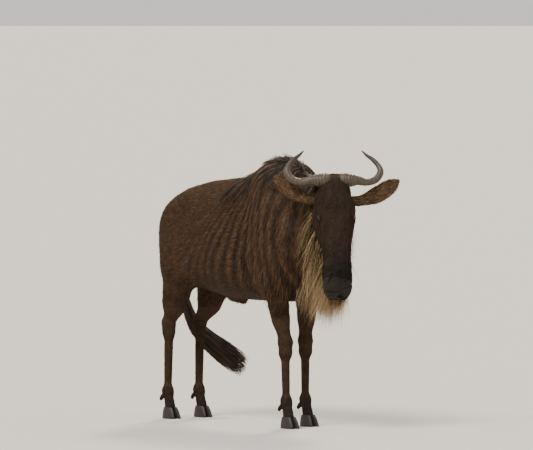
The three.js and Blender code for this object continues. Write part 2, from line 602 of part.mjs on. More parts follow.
const makeHead = () => {
  const bare = wrap(framesAlong(HEAD, [0.03, ...steps(0.07, 0.97, 17)]), 22, () => 235, [true, true]);
  const dressed = slice(fuse([bare, plainForm(BEARD_CORE, 10, 8), ...makeBeard()]), HEAD_CUT, null);
  const lids = pairForms((side) => ellipsoid(
    eyeCentre(side), EYE_RADIUS + 5, EYE_RADIUS + 5, EYE_RADIUS + 5, 10,
  ));
  const tools = pairForms((side) => [
    makeEye(side, GAP), eyeOpening(side), makeHorn(side, GAP), makeNostril(side),
    makeEar(side, side > 0 ? EAR_LEFT : EAR_RIGHT, GAP),
  ]).flat();
  const whole = fuse([dressed, ...lids]);
  return largest([...tools, makeMouth()].reduce((solid, tool) => solid.subtract(tool), whole));
};

// A leg's spine: rings square to a smooth line through its joints.
const legFrames = (joints, count) => {
  const line = new THREE.CatmullRomCurve3(joints, false, 'centripetal');
  return steps(0, 1, count).map((t) => {
    const tangent = line.getTangentAt(t);
    const side = V(0, 1, 0).addScaledVector(tangent, -tangent.y).normalize();
    return { centre: line.getPointAt(t), tangent, side, up: tangent.clone().cross(side) };
  });
};
const LEG_SPOKES = 12;
const cutAt = (a, b, t) => ({ point: between(a, b, t), normal: b.clone().sub(a).normalize() });
const CORONET_CUT = { point: V(0, 0, CORONET_HEIGHT), normal: V(0, 0, -1) };

// Two small dewclaws behind the fetlock.
const makeDewclaws = (leg) => pairForms((side) => tube(
  [shifted(leg.fetlock, -12, side * 13, -24), shifted(leg.fetlock, -28, side * 18, -32),
    shifted(leg.fetlock, -36, side * 20, -48)],
  [11, 12, 6], 8, 3, V(0, 1, 0),
));

const makeLeg = (leg, top, joints, cuts, names, widest) => {
  const limit = (angle, centre) => (centre.z > BELOW_BELLY + 50 ? widest : 95);
  const whole = wrap(legFrames(joints, 18), LEG_SPOKES, limit).intersect(legTop(leg.side, top, 0));
  return names.map((name, i) => {
    const piece = slice(whole, cuts[i - 1], cuts[i]);
    const clawed = name.endsWith('pastern');
    return [name, clawed ? slice(fuse([piece, ...makeDewclaws(leg)]), null, CORONET_CUT) : piece];
  });
};
const footOf = (leg) => shifted(leg.coronet, 4, 0, -14);
const makeForeLeg = (leg, word) => makeLeg(
  leg,
  FORE_TOP,
  [V(335, leg.side * 120, 1010), V(345, leg.side * 126, 860), leg.elbow, leg.knee, leg.fetlock, footOf(leg)],
  [
    cutAt(leg.elbow, leg.knee, 0.2),
    cutAt(leg.knee, leg.fetlock, 0.12),
    cutAt(leg.knee, leg.fetlock, 0.88),
    CORONET_CUT,
  ],
  ['upper', 'forearm', 'cannon', 'pastern'].map((part) => `foreleg_${word}_${part}`),
  170,
);
const makeHindLeg = (leg, word) => makeLeg(
  leg,
  HIND_TOP,
  [V(-465, leg.side * 118, 1020), V(-455, leg.side * 124, 860), shifted(leg.stifle, -58, 0, -10),
    leg.hock, leg.fetlock, footOf(leg)],
  [
    cutAt(leg.stifle, leg.hock, 0.3),
    cutAt(leg.hock, leg.fetlock, 0.12),
    cutAt(leg.hock, leg.fetlock, 0.88),
    CORONET_CUT,
  ],
  ['thigh', 'gaskin', 'cannon', 'pastern'].map((part) => `hindleg_${word}_${part}`),
  225,
);

// A claw of a cloven hoof: flat sole, upright inner wall, pointed toe. away is the claw's own side.
const CLAW_RINGS = [[0, 1, 1], [10, 0.99, 1], [34, 0.86, 0.92], [CORONET_HEIGHT - GAP, 0.66, 0.78]];
const makeClaw = (leg, away) => {
  const rings = CLAW_RINGS.map(([height, long, wide]) => Array.from({ length: 12 }, (_, j) => {
    const angle = (j / 12) * 2 * Math.PI;
    const heelward = Math.cos(angle) < 0;
    const length = HOOF_LENGTH * long * (heelward ? 0.42 : 0.58);
    const across = Math.sin(angle) * 17 * wide * (heelward ? 1 : 1 - 0.25 * Math.cos(angle) ** 2);
    const lean = (height / CORONET_HEIGHT) * -8;
    return V(
      leg.coronet.x + 6 + lean + Math.cos(angle) * length,
      leg.coronet.y + away * (19 * wide) + across,
      height,
    );
  }));
  return solidFromRings(rings, centreOf(rings[0]), centreOf(rings.at(-1)));
};

// Tail: the dock hangs behind the rump, its tuft swings out to the animal's left.
const TAIL_PATH = [
  V(-560, 0, 1072), V(-612, 0, 1058), V(-652, 6, 990), V(-668, 24, 850), V(-668, 58, 700), V(-660, 92, 560),
  V(-650, 140, 450), V(-640, 228, 370), V(-625, 340, 288), V(-612, 462, 212),
];
const DOCK_END = 5;
const DOCK_RADII = [30, 30, 24, 20, 17, 12];
const makeDock = (grow = 0) => tube(TAIL_PATH.slice(0, DOCK_END + 1), DOCK_RADII, 10, 12, V(0, 1, 0), grow);
// Half width and half thickness of the tuft from its root to the tips. Its core is half as big.
const TUFT_SECTIONS = [[12, 12], [26, 22], [36, 26], [56, 26], [72, 22], [62, 12]];
const TUFT_LOCKS = 17;
const makeTuft = () => {
  const line = new THREE.CatmullRomCurve3(TAIL_PATH.slice(DOCK_END - 1), false, 'centripetal');
  const sectionAt = (t) => {
    const tangent = line.getTangent(t);
    const thin = V(1, 0, 0).addScaledVector(tangent, -tangent.x).normalize();
    const along = t * (TUFT_SECTIONS.length - 1);
    const [wide, deep] = [0, 1].map((k) => through(TUFT_SECTIONS.map((row) => row[k]), along));
    return { centre: line.getPoint(t), thin, broad: tangent.clone().cross(thin), wide, deep };
  };
  const placeOn = (t, angle, share) => {
    const { centre, thin, broad, wide, deep } = sectionAt(t);
    return centre.clone().addScaledVector(broad, wide * share * Math.cos(angle))
      .addScaledVector(thin, deep * share * Math.sin(angle));
  };
  const core = solidFromRings(
    steps(0, 0.8, 9).map((t) => Array.from({ length: 8 }, (_, j) => (
      placeOn(t, (j / 8) * 2 * Math.PI, 0.5 + 0.4 * (1 - t) ** 3)
    ))),
    line.getPoint(0),
    line.getPoint(0.8),
  );
  const random = randomFrom(47);
  const locks = Array.from({ length: TUFT_LOCKS }, (_, i) => {
    const angle = i * 2.4;
    const from = 0.04 + 0.5 * (i / TUFT_LOCKS);
    const to = Math.min(1, from + random(0.42, 0.55));
    const path = steps(0, 1, LOCK_TAPER.length).map((f) => placeOn(
      lerp(from, to, f), angle, lerp(0.3, random(0.85, 1), Math.min(1, f * 1.6)),
    ));
    return makeLock(path, random(26, 34), 10, V(1, 0, 0));
  });
  return fuse([core, ...locks]);
};

const nodes = new Map();
const dock = makeDock();
const tuft = makeTuft();
nodes.set('torso', largest(fuse([makeTrunk(), slice(mane, null, NECK_CUT)]).subtract(makeDock(GAP))));
nodes.set('neck', makeNeck());
nodes.set('head', makeHead());
nodes.set('tail', largest(dock.subtract(beyond(TAIL_PATH[DOCK_END - 1], V(0, 0.2, -1).normalize()))));
nodes.set('tail_tuft', largest(tuft.subtract(
  beyond(TAIL_PATH[DOCK_END - 1].clone().add(V(0, 0, -GAP)), V(0, -0.2, 1).normalize()),
)));
[[1, 'left', EAR_LEFT], [-1, 'right', EAR_RIGHT]].forEach(([side, word, ear]) => {
  nodes.set(`horn_${word}`, makeHorn(side));
  nodes.set(`ear_${word}`, makeEar(side, ear));
  nodes.set(`eye_${word}`, makeEye(side));
});
[
  ...makeForeLeg(FORE_RIGHT, 'right'), ...makeForeLeg(FORE_LEFT, 'left'),
  ...makeHindLeg(HIND_RIGHT, 'right'), ...makeHindLeg(HIND_LEFT, 'left'),
].forEach(([name, solid]) => nodes.set(name, solid));
[['foreleg_right', FORE_RIGHT], ['foreleg_left', FORE_LEFT], ['hindleg_right', HIND_RIGHT],
  ['hindleg_left', HIND_LEFT]].forEach(([word, leg]) => {
  nodes.set(`${word}_hoof_outer`, makeClaw(leg, leg.side));
  nodes.set(`${word}_hoof_inner`, makeClaw(leg, -leg.side));
});

// Finishes: colour, roughness and metalness by the kind of node.
const FINISHES = {
  coat: [0x4d3a2e, 0.85],
  dark_hair: [0x1d1714, 0.8],
  horn: [0x5b554e, 0.45],
  hoof: [0x2a2522, 0.5],
  eye: [0x120c0a, 0.1],
};
const finishOf = (name) => {
  if (name.startsWith('horn')) return 'horn';
  if (name.includes('hoof')) return 'hoof';
  if (name.startsWith('eye')) return 'eye';
  if (name === 'head' || name === 'tail_tuft') return 'dark_hair';
  return 'coat';
};
const materials = Object.fromEntries(Object.entries(FINISHES).map(([name, [color, roughness]]) => [
  name, Object.assign(new THREE.MeshStandardMaterial({ color, roughness, metalness: 0 }), { name }),
]));

const animal = new THREE.Group();
animal.name = 'wildebeest';
nodes.forEach((solid, name) => {
  const mesh = solid.getMesh();
  const geometry = new THREE.BufferGeometry()
    .setAttribute('position', new THREE.BufferAttribute(mesh.vertProperties, 3))
    .setIndex(new THREE.BufferAttribute(mesh.triVerts, 1));
  const made = new THREE.Mesh(geometry, materials[finishOf(name)]);
  made.name = name;
  animal.add(made);
});
// The origin goes to the middle of the footprint.
const box = new THREE.Box3().setFromObject(animal);
const shift = V(-(box.min.x + box.max.x) / 2, -(box.min.y + box.max.y) / 2, 0);
animal.children.forEach((mesh) => mesh.geometry.translate(shift.x, shift.y, shift.z));

export default animal;
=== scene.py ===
"""The looks of a wildebeest bull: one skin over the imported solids, its coat, horns, hooves and studio."""

import logging
import math
from collections.abc import Sequence
from dataclasses import dataclass, field
from enum import Enum

import bmesh
import bpy
import numpy as np
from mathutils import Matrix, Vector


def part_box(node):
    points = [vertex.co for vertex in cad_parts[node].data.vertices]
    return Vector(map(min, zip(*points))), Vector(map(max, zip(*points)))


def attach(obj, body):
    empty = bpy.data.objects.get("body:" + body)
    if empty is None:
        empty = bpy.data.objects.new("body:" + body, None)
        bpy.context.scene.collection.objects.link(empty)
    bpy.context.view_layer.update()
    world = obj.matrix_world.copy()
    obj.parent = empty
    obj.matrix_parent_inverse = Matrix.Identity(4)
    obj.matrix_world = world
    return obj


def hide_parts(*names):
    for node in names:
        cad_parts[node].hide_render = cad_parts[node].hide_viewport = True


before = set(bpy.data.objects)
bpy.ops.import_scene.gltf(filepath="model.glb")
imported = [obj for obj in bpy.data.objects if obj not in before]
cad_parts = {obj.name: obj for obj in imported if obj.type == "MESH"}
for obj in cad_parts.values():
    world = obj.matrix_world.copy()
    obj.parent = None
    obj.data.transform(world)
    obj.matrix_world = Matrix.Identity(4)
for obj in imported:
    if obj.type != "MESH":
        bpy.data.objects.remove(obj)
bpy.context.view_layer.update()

import openvdb
from mathutils import Matrix, Vector

logging.basicConfig(level=logging.INFO, format="%(message)s")
log = logging.getLogger("wildebeest")

Array = np.ndarray
MM = 0.001


def vec(x: float, y: float, z: float) -> Array:
    """A point or direction."""
    return np.array([x, y, z], float)


def unit(v: Array) -> Array:
    """The same directions, each one long."""
    return v / np.maximum(np.linalg.norm(v, axis=-1, keepdims=True), 1e-9)


def blend(a: Array, b: Array, k: float) -> Array:
    """Smooth union of two distances, rounded over the width k."""
    h = np.maximum(k - np.abs(a - b), 0) / k
    return np.minimum(a, b) - h * h * k / 4


def ramp(x: Array, start: float, width: float) -> Array:
    """0 up to start, rising to 1 over the width. A negative width turns it round."""
    return np.clip((x - start) / width, 0, 1)


def through(values: Array, t: Array) -> Array:
    """Catmull-Rom values through evenly spaced knots.

    Args:
        values: one row per knot.
        t: positions, in knots.

    Returns:
        One row per position.
    """
    values = np.asarray(values, float)
    if values.ndim == 1:
        return through(values[:, None], t)[:, 0]
    t = np.atleast_1d(np.asarray(t, float))
    last = len(values) - 1
    i = np.clip(np.floor(t).astype(int), 0, last - 1)
    f = np.clip(t - i, 0, 1)[:, None]
    a, b = values[i], values[i + 1]
    before = np.where((i > 0)[:, None], values[np.maximum(i - 1, 0)], 2 * a - b)
    after = np.where((i < last - 1)[:, None], values[np.minimum(i + 2, last)], 2 * b - a)
    m0, m1 = (b - before) / 2, (after - a) / 2
    f2, f3 = f * f, f * f * f
    rise = 3 * f2 - 2 * f3
    return (1 - rise) * a + (f3 - 2 * f2 + f) * m0 + rise * b + (f3 - f2) * m1


class Noise:
    """Smooth random values in space, from a seed."""

    # How many values the table holds, a power of two.
    SIZE = 4096

    def __init__(self, seed: int) -> None:
        """Draws the table of corner values."""
        self.table = np.random.default_rng(seed).random(self.SIZE).astype(np.float32) * 2 - 1

    def _corner(self, i: Array) -> Array:
        """Random value of each lattice corner."""
        n = i[..., 0] * 73856093 ^ i[..., 1] * 19349663 ^ i[..., 2] * 83492791
        return self.table[n & (self.SIZE - 1)]

    def __call__(self, p: Array, size: float | Array) -> Array:
        """Noise from -1 to 1.

        Args:
            p: points, one per row.
            size: width of the features, one number or one per axis.

        Returns:
            One value per point.
        """
        q = p / size
        base = np.floor(q).astype(np.int64)
        f = q - base
        f = f * f * (3 - 2 * f)
        total = np.zeros(len(p))
        for dx in (0, 1):
            for dy in (0, 1):
                for dz in (0, 1):
                    corner = np.array([dx, dy, dz])
                    total += np.abs(1 - corner - f).prod(1) * self._corner(base + corner)
        return total


NOISE = Noise(7)


# Sizes shared with the solids, in millimetres in the body's own frame.
CREST_HEIGHT = 1280.0
WITHERS_X = 330.0
BELLY_HEIGHT = 610.0
BARREL_HALF_WIDTH = 224.0
HOCK_HEIGHT = 452.0
KNEE_HEIGHT = 392.0
FETLOCK_HEIGHT = 132.0
CORONET_HEIGHT = 58.0
HOOF_LENGTH = 96.0
EYE_RADIUS = 20.0
EYE_PLAY = 0.2
HEAD_YAW = math.radians(-31)
HEAD_PITCH = math.radians(20)

HEAD_TOP = vec(738, -48, 1205)
HEAD_FORWARD = vec(math.cos(HEAD_YAW), math.sin(HEAD_YAW), 0)
HEAD_LEFT = vec(-math.sin(HEAD_YAW), math.cos(HEAD_YAW), 0)
DOWN_FACE = HEAD_FORWARD * math.sin(HEAD_PITCH) - vec(0, 0, math.cos(HEAD_PITCH))
FACE_FRONT = HEAD_FORWARD * math.cos(HEAD_PITCH) + vec(0, 0, math.sin(HEAD_PITCH))

# Where the coat changes: the head's starts this far behind its axis and at this x, the legs' ends here.
HEAD_BEHIND = -105.0
HEAD_FROM_X = 655.0
LEG_TOP = 600.0


def on_head(down: float | Array, front: float | Array, out: float | Array, side: float = 1) -> Array:
    """A point of the head: down the face, out of its front and out to a side, +1 for its left."""
    return HEAD_TOP + DOWN_FACE * down + FACE_FRONT * front + HEAD_LEFT * out * side


def head_places(p: Array) -> tuple[Array, Array, Array]:
    """Where points lie on the head: down the face, out of its front, and out to its left."""
    r = p - HEAD_TOP
    return r @ DOWN_FACE, r @ FACE_FRONT, r @ HEAD_LEFT


def is_head(p: Array, front: Array, behind: float = HEAD_BEHIND) -> Array:
    """Which points belong to the head, from their places out of its front."""
    return (front > behind) & (p[:, 0] > HEAD_FROM_X)


@dataclass
class Loft:
    """A body form swept along a spine, as in the solids.

    Attributes:
        stations: centre, reach up, reach down, half width and squareness of each section.
        up_hint: the way up across the spine.
        soft: how widely it blends into the body.
        samples: how many places of the spine are worked out.
        frames: what was worked out there.
    """

    stations: list[tuple[Array, float, float, float, float]]
    up_hint: Array
    soft: float = 60
    samples: int = 48
    frames: dict[str, Array] = field(default_factory=dict, repr=False)

    def __post_init__(self) -> None:
        """Samples the spine."""
        spans = len(self.stations) - 1
        t = np.linspace(0, spans, self.samples + 1)
        centres = np.array([s[0] for s in self.stations])
        shape = np.array([s[1:] for s in self.stations])
        nudge = 0.02
        ahead = through(centres, np.minimum(t + nudge, spans))
        tangent = unit(ahead - through(centres, np.maximum(t - nudge, 0)))
        side = unit(np.cross(self.up_hint, tangent))
        self.frames = {
            "centre": through(centres, t), "tangent": tangent, "side": side,
            "up": np.cross(tangent, side), "shape": through(shape, t),
        }

    def distance(self, p: Array) -> Array:
        """Distance from the form's skin, below zero inside."""
        f = self.frames
        c = f["centre"]
        near = ((c * c).sum(1)[None] - 2 * p @ c.T).argmin(1)
        r = p - c[near]
        along = (r * f["tangent"][near]).sum(1)
        other = np.clip(near + np.sign(along).astype(int), 0, self.samples)
        hop = c[near] - c[other]
        step = np.linalg.norm(hop, axis=1)
        moved = step > 0
        w = np.where(moved, np.clip(np.abs(along) / np.maximum(step, 1e-9), 0, 1), 0)
        over = np.maximum(0, np.abs(along) - step)
        v = (r * f["up"][near]).sum(1) + w * (hop * f["up"][near]).sum(1)
        u = (r * f["side"][near]).sum(1) + w * (hop * f["side"][near]).sum(1)
        high, low, wide, n = (f["shape"][near] * (1 - w[:, None]) + f["shape"][other] * w[:, None]).T
        tall = np.where(v > 0, high, low)
        ratio = ((np.abs(u) / wide) ** n + (np.abs(v) / tall) ** n) ** (1 / n)
        skin = np.hypot(u, v) * (1 - 1 / np.maximum(ratio, 1e-6))
        d = np.where(ratio < 1e-6, -np.minimum(wide, tall), skin)
        return np.where(over > 0, np.hypot(over, np.maximum(d, 0)), d)


@dataclass
class Muscle:
    """A tapering rounded form from one point to another.

    Attributes:
        a: one end.
        b: the other end.
        ra: radius at a.
        rb: radius at b.
        soft: how widely it blends into the body.
        flat: under 1 squeezes it sideways.
    """

    a: Array
    b: Array
    ra: float
    rb: float
    soft: float = 40
    flat: float = 1

    def distance(self, p: Array) -> Array:
        """Distance from the form's skin, below zero inside."""
        axis = self.b - self.a
        length2 = float(axis @ axis)
        t = np.clip((p - self.a) @ axis / length2, 0, 1) if length2 > 0 else np.zeros(len(p))
        d = p - self.a - t[:, None] * axis
        d[:, 1] /= self.flat
        return (np.linalg.norm(d, axis=1) - (self.ra + (self.rb - self.ra) * t)) * min(self.flat, 1)


def trunk_station(row: tuple[float, ...]) -> tuple:
    """A section of the trunk from its x, top, bottom, half width, middle and squareness."""
    x, top, bottom, wide, middle, square = row
    return vec(x, 0, middle), top - middle, middle - bottom, wide, square


def head_station(row: tuple[float, ...]) -> tuple:
    """A section of the head from its place down the face, reach front and back, half width and squareness."""
    return on_head(row[0], 0, 0), *row[1:]


def between(a: Array, b: Array, t: float) -> Array:
    """The point a share t of the way from a to b."""
    return a + (b - a) * t


@dataclass
class Leg:
    """Where one leg's joints stand.

    Attributes:
        side: +1 for the left, -1 for the right.
        joints: the place of each joint.
    """

    side: int
    joints: dict[str, Array]

    @classmethod
    def fore(cls, side: int, elbow: float, knee: float, fetlock: float, foot: float, out: float) -> "Leg":
        """A foreleg from the forward places of its joints and its distance out."""
        return cls(side, {
            "blade": vec(310, side * 95, 1130), "shoulder": vec(455, side * 112, 880),
            "elbow": vec(elbow, side * 116, 716), "knee": vec(knee, side * (out + 6), KNEE_HEIGHT),
            "fetlock": vec(fetlock, side * out, FETLOCK_HEIGHT),
            "coronet": vec(foot, side * out, CORONET_HEIGHT),
        })

    @classmethod
    def hind(cls, side: int, hock: float, fetlock: float, foot: float, out: float) -> "Leg":
        """A hind leg from the forward places of its joints and its distance out."""
        return cls(side, {
            "hip": vec(-440, side * 96, 970), "buttock": vec(-512, side * 76, 900),
            "stifle": vec(-410, side * 126, 725), "hock": vec(hock, side * (out + 2), HOCK_HEIGHT),
            "fetlock": vec(fetlock, side * out, FETLOCK_HEIGHT + 6),
            "coronet": vec(foot, side * out, CORONET_HEIGHT),
        })

    def forms(self) -> list[Muscle]:
        """The leg's muscles and joints."""
        j = self.joints
        foot = [
            Muscle(j["fetlock"], j["fetlock"] + vec(1, 0, -6), 27, 27, 20, 0.95),
            Muscle(j["fetlock"], j["coronet"], 23, 27, 16, 0.95),
        ]
        if "knee" in j:
            elbow, knee = j["elbow"], j["knee"]
            return [
                Muscle(j["blade"], between(j["blade"], j["shoulder"], 0.7), 88, 92, 90, 0.8),
                Muscle(j["shoulder"], elbow + vec(10, 0, 40), 92, 66, 80, 0.8),
                Muscle(elbow + vec(-26, 0, 26), elbow + vec(3, 0, -40), 42, 46, 40),
                Muscle(elbow + vec(2, 0, 10), between(elbow, knee, 0.55), 55, 43, 50, 0.82),
                Muscle(between(elbow, knee, 0.4), knee + vec(0, 0, 34), 46, 33, 40),
                Muscle(knee + vec(2, 0, 24), knee + vec(2, 0, -22), 35, 32, 24),
                Muscle(knee + vec(0, 0, -20), j["fetlock"], 24, 20, 24, 0.86), *foot,
            ]
        hip, buttock, stifle, hock = (j[k] for k in ("hip", "buttock", "stifle", "hock"))
        return [
            Muscle(hip, between(hip, stifle, 0.75), 118, 100, 90, 0.8),
            Muscle(buttock, between(buttock, stifle, 0.7), 72, 84, 70, 0.85),
            Muscle(buttock + vec(0, 0, -70), between(stifle, hock, 0.55), 58, 46, 60, 0.85),
            Muscle(stifle + vec(4, 0, 10), between(stifle, hock, 0.5), 84, 54, 60, 0.8),
            Muscle(between(stifle, hock, 0.35), hock + vec(4, 0, 16), 56, 31, 45, 0.85),
            Muscle(hock + vec(-34, 0, 34), hock + vec(-12, 0, -12), 15, 24, 26),
            Muscle(between(stifle, hock, 0.62) + vec(-58, 0, 10), hock + vec(-34, 0, 30), 13, 13, 26),
            Muscle(hock + vec(0, 0, 12), hock + vec(0, 0, -26), 32, 27, 24, 0.9),
            Muscle(hock + vec(-2, 0, -24), j["fetlock"], 26, 21, 24, 0.84), *foot,
        ]

    def dewclaws(self) -> list[Muscle]:
        """The two small claws behind the fetlock."""
        f = self.joints["fetlock"]
        return [Muscle(f + vec(-22, s * 16, -27), f + vec(-32, s * 18, -40), 11, 9, 9) for s in (-1, 1)]


LEGS = {
    "foreleg_right": Leg.fore(-1, 350, 409, 409, 428, 88),
    "foreleg_left": Leg.fore(1, 315, 326, 334, 356, 86),
    "hindleg_right": Leg.hind(-1, -538, -552, -532, 102),
    "hindleg_left": Leg.hind(1, -550, -556, -532, 94),
}
# Points along the tail from its root, as in the solids, and the dock's radii at the first of them.
TAIL_PATH = np.array([
    [-560, 0, 1072], [-612, 0, 1058], [-652, 6, 990], [-668, 24, 850], [-668, 58, 700], [-660, 92, 560],
    [-650, 140, 450], [-640, 228, 370], [-625, 340, 288], [-612, 462, 212],
], float)
DOCK_RADII = [30, 30, 24, 20, 17, 12]

# Each trunk section's x, top, bottom, half width, middle and squareness.
TRUNK = (
    (-604, 1000, 850, 60, 925, 2), (-545, 1096, 760, 122, 930, 2.1), (-430, 1168, 690, 168, 925, 2.2),
    (-300, 1202, 656, 194, 905, 2.2), (-160, 1214, BELLY_HEIGHT + 18, 212, 880, 2.2),
    (-20, 1220, BELLY_HEIGHT + 4, BARREL_HALF_WIDTH, 865, 2.2), (120, 1236, BELLY_HEIGHT, 217, 865, 2.2),
    (250, CREST_HEIGHT - 14, BELLY_HEIGHT, 190, 875, 2.15),
    (380, CREST_HEIGHT - 12, BELLY_HEIGHT + 8, 166, 885, 2.1), (490, 1190, 650, 130, 890, 2),
    (570, 1050, 760, 78, 900, 2),
)
# Each neck section's centre, reach up and down, half width and squareness.
NECK = (
    (vec(300, 0, 975), 292, 255, 165, 2), (vec(430, -2, 1000), 256, 238, 142, 2),
    (vec(550, -12, 1035), 200, 200, 112, 2), (vec(650, -28, 1075), 150, 158, 92, 2),
    (vec(720, -44, 1115), 96, 118, 80, 2),
)
# Each head section's place down the face, reach front and back, half width and squareness.
HEAD = (
    (-42, 20, 40, 44, 2), (12, 58, 84, 72, 2.2), (80, 78, 112, 80, 2.5), (148, 84, 128, 84, 2.6),
    (216, 82, 130, 80, 2.6), (286, 76, 114, 74, 2.5), (356, 68, 94, 68, 2.5), (424, 60, 80, 66, 2.5),
    (488, 54, 74, 72, 2.8), (540, 42, 68, 72, 2.8), (576, 12, 54, 54, 2.5),
)


class Body:
    """The whole animal as one distance field, in millimetres in the body's own frame."""

    def __init__(self) -> None:
        """Builds the forms of the solids, and the finer ones of the skin."""
        self.trunk = Loft([trunk_station(row) for row in TRUNK], vec(0, 0, 1))
        neck = Loft(list(NECK), unit(vec(-0.3, 0, 1)), soft=90)
        head = Loft([head_station(row) for row in HEAD], FACE_FRONT)
        self.forms: list[Loft | Muscle] = [
            neck, head,
            Muscle(vec(250, 0, CREST_HEIGHT - 70), vec(360, 0, CREST_HEIGHT - 62), 52, 60, 90, 0.7),
            Muscle(vec(-130, 0, BELLY_HEIGHT + 20), vec(-56, 0, BELLY_HEIGHT - 8), 34, 18, 44),
        ]
        for s in (-1, 1):
            self.forms += [
                Muscle(vec(-300, s * 128, 1098), vec(-340, s * 118, 1098), 34, 34, 80),
                Muscle(on_head(128, 32, 62, s), on_head(152, 30, 66, s), 30, 28, 26),
                Muscle(on_head(180, -68, 44, s), on_head(240, -66, 40, s), 56, 44, 50),
                Muscle(on_head(440, 24, 48, s), on_head(466, 18, 51, s), 25, 24, 24),
            ]
        self.forms.append(Muscle(on_head(452, -42, 0), on_head(484, -44, 0), 36, 26, 30))
        for leg in LEGS.values():
            self.forms += leg.forms() + leg.dewclaws()
        for i, (ra, rb) in enumerate(zip(DOCK_RADII, DOCK_RADII[1:])):
            self.forms.append(Muscle(TAIL_PATH[i], TAIL_PATH[i + 1], ra - 3, rb - 3, 14))
        self.details = Details()

    def coarse(self, p: Array) -> Array:
        """Distance from the skin, without the head's small features."""
        d = self.trunk.distance(p)
        for form in self.forms:
            d = blend(d, form.distance(p), form.soft)
        return d

    def distance(self, p: Array) -> Array:
        """Distance from the finished skin, below zero inside."""
        return self.details.apply(p, self.coarse(p) + coat_depth(p))

    def normals(self, p: Array, step: float = 1.5) -> tuple[Array, Array]:
        """The distance and its outward direction at each point."""
        d = self.distance(p)
        g = np.stack([self.distance(p + step * e) - self.distance(p - step * e) for e in np.eye(3)], 1)
        return d, unit(g)


# How far inside the solids the skin lies, under the body's coat and under that of face and feet.
SKIN_DEPTH = 5.0
SKIN_DEPTH_FACE = 0.8


def coat_depth(p: Array) -> Array:
    """How far the skin lies inside the solids, thin on the face and feet."""
    down, front, _ = head_places(p)
    thin = np.maximum(ramp(front, -90, 60) * ramp(down, -60, 60), ramp(p[:, 2], 520, -160))
    return SKIN_DEPTH - (SKIN_DEPTH - SKIN_DEPTH_FACE) * thin


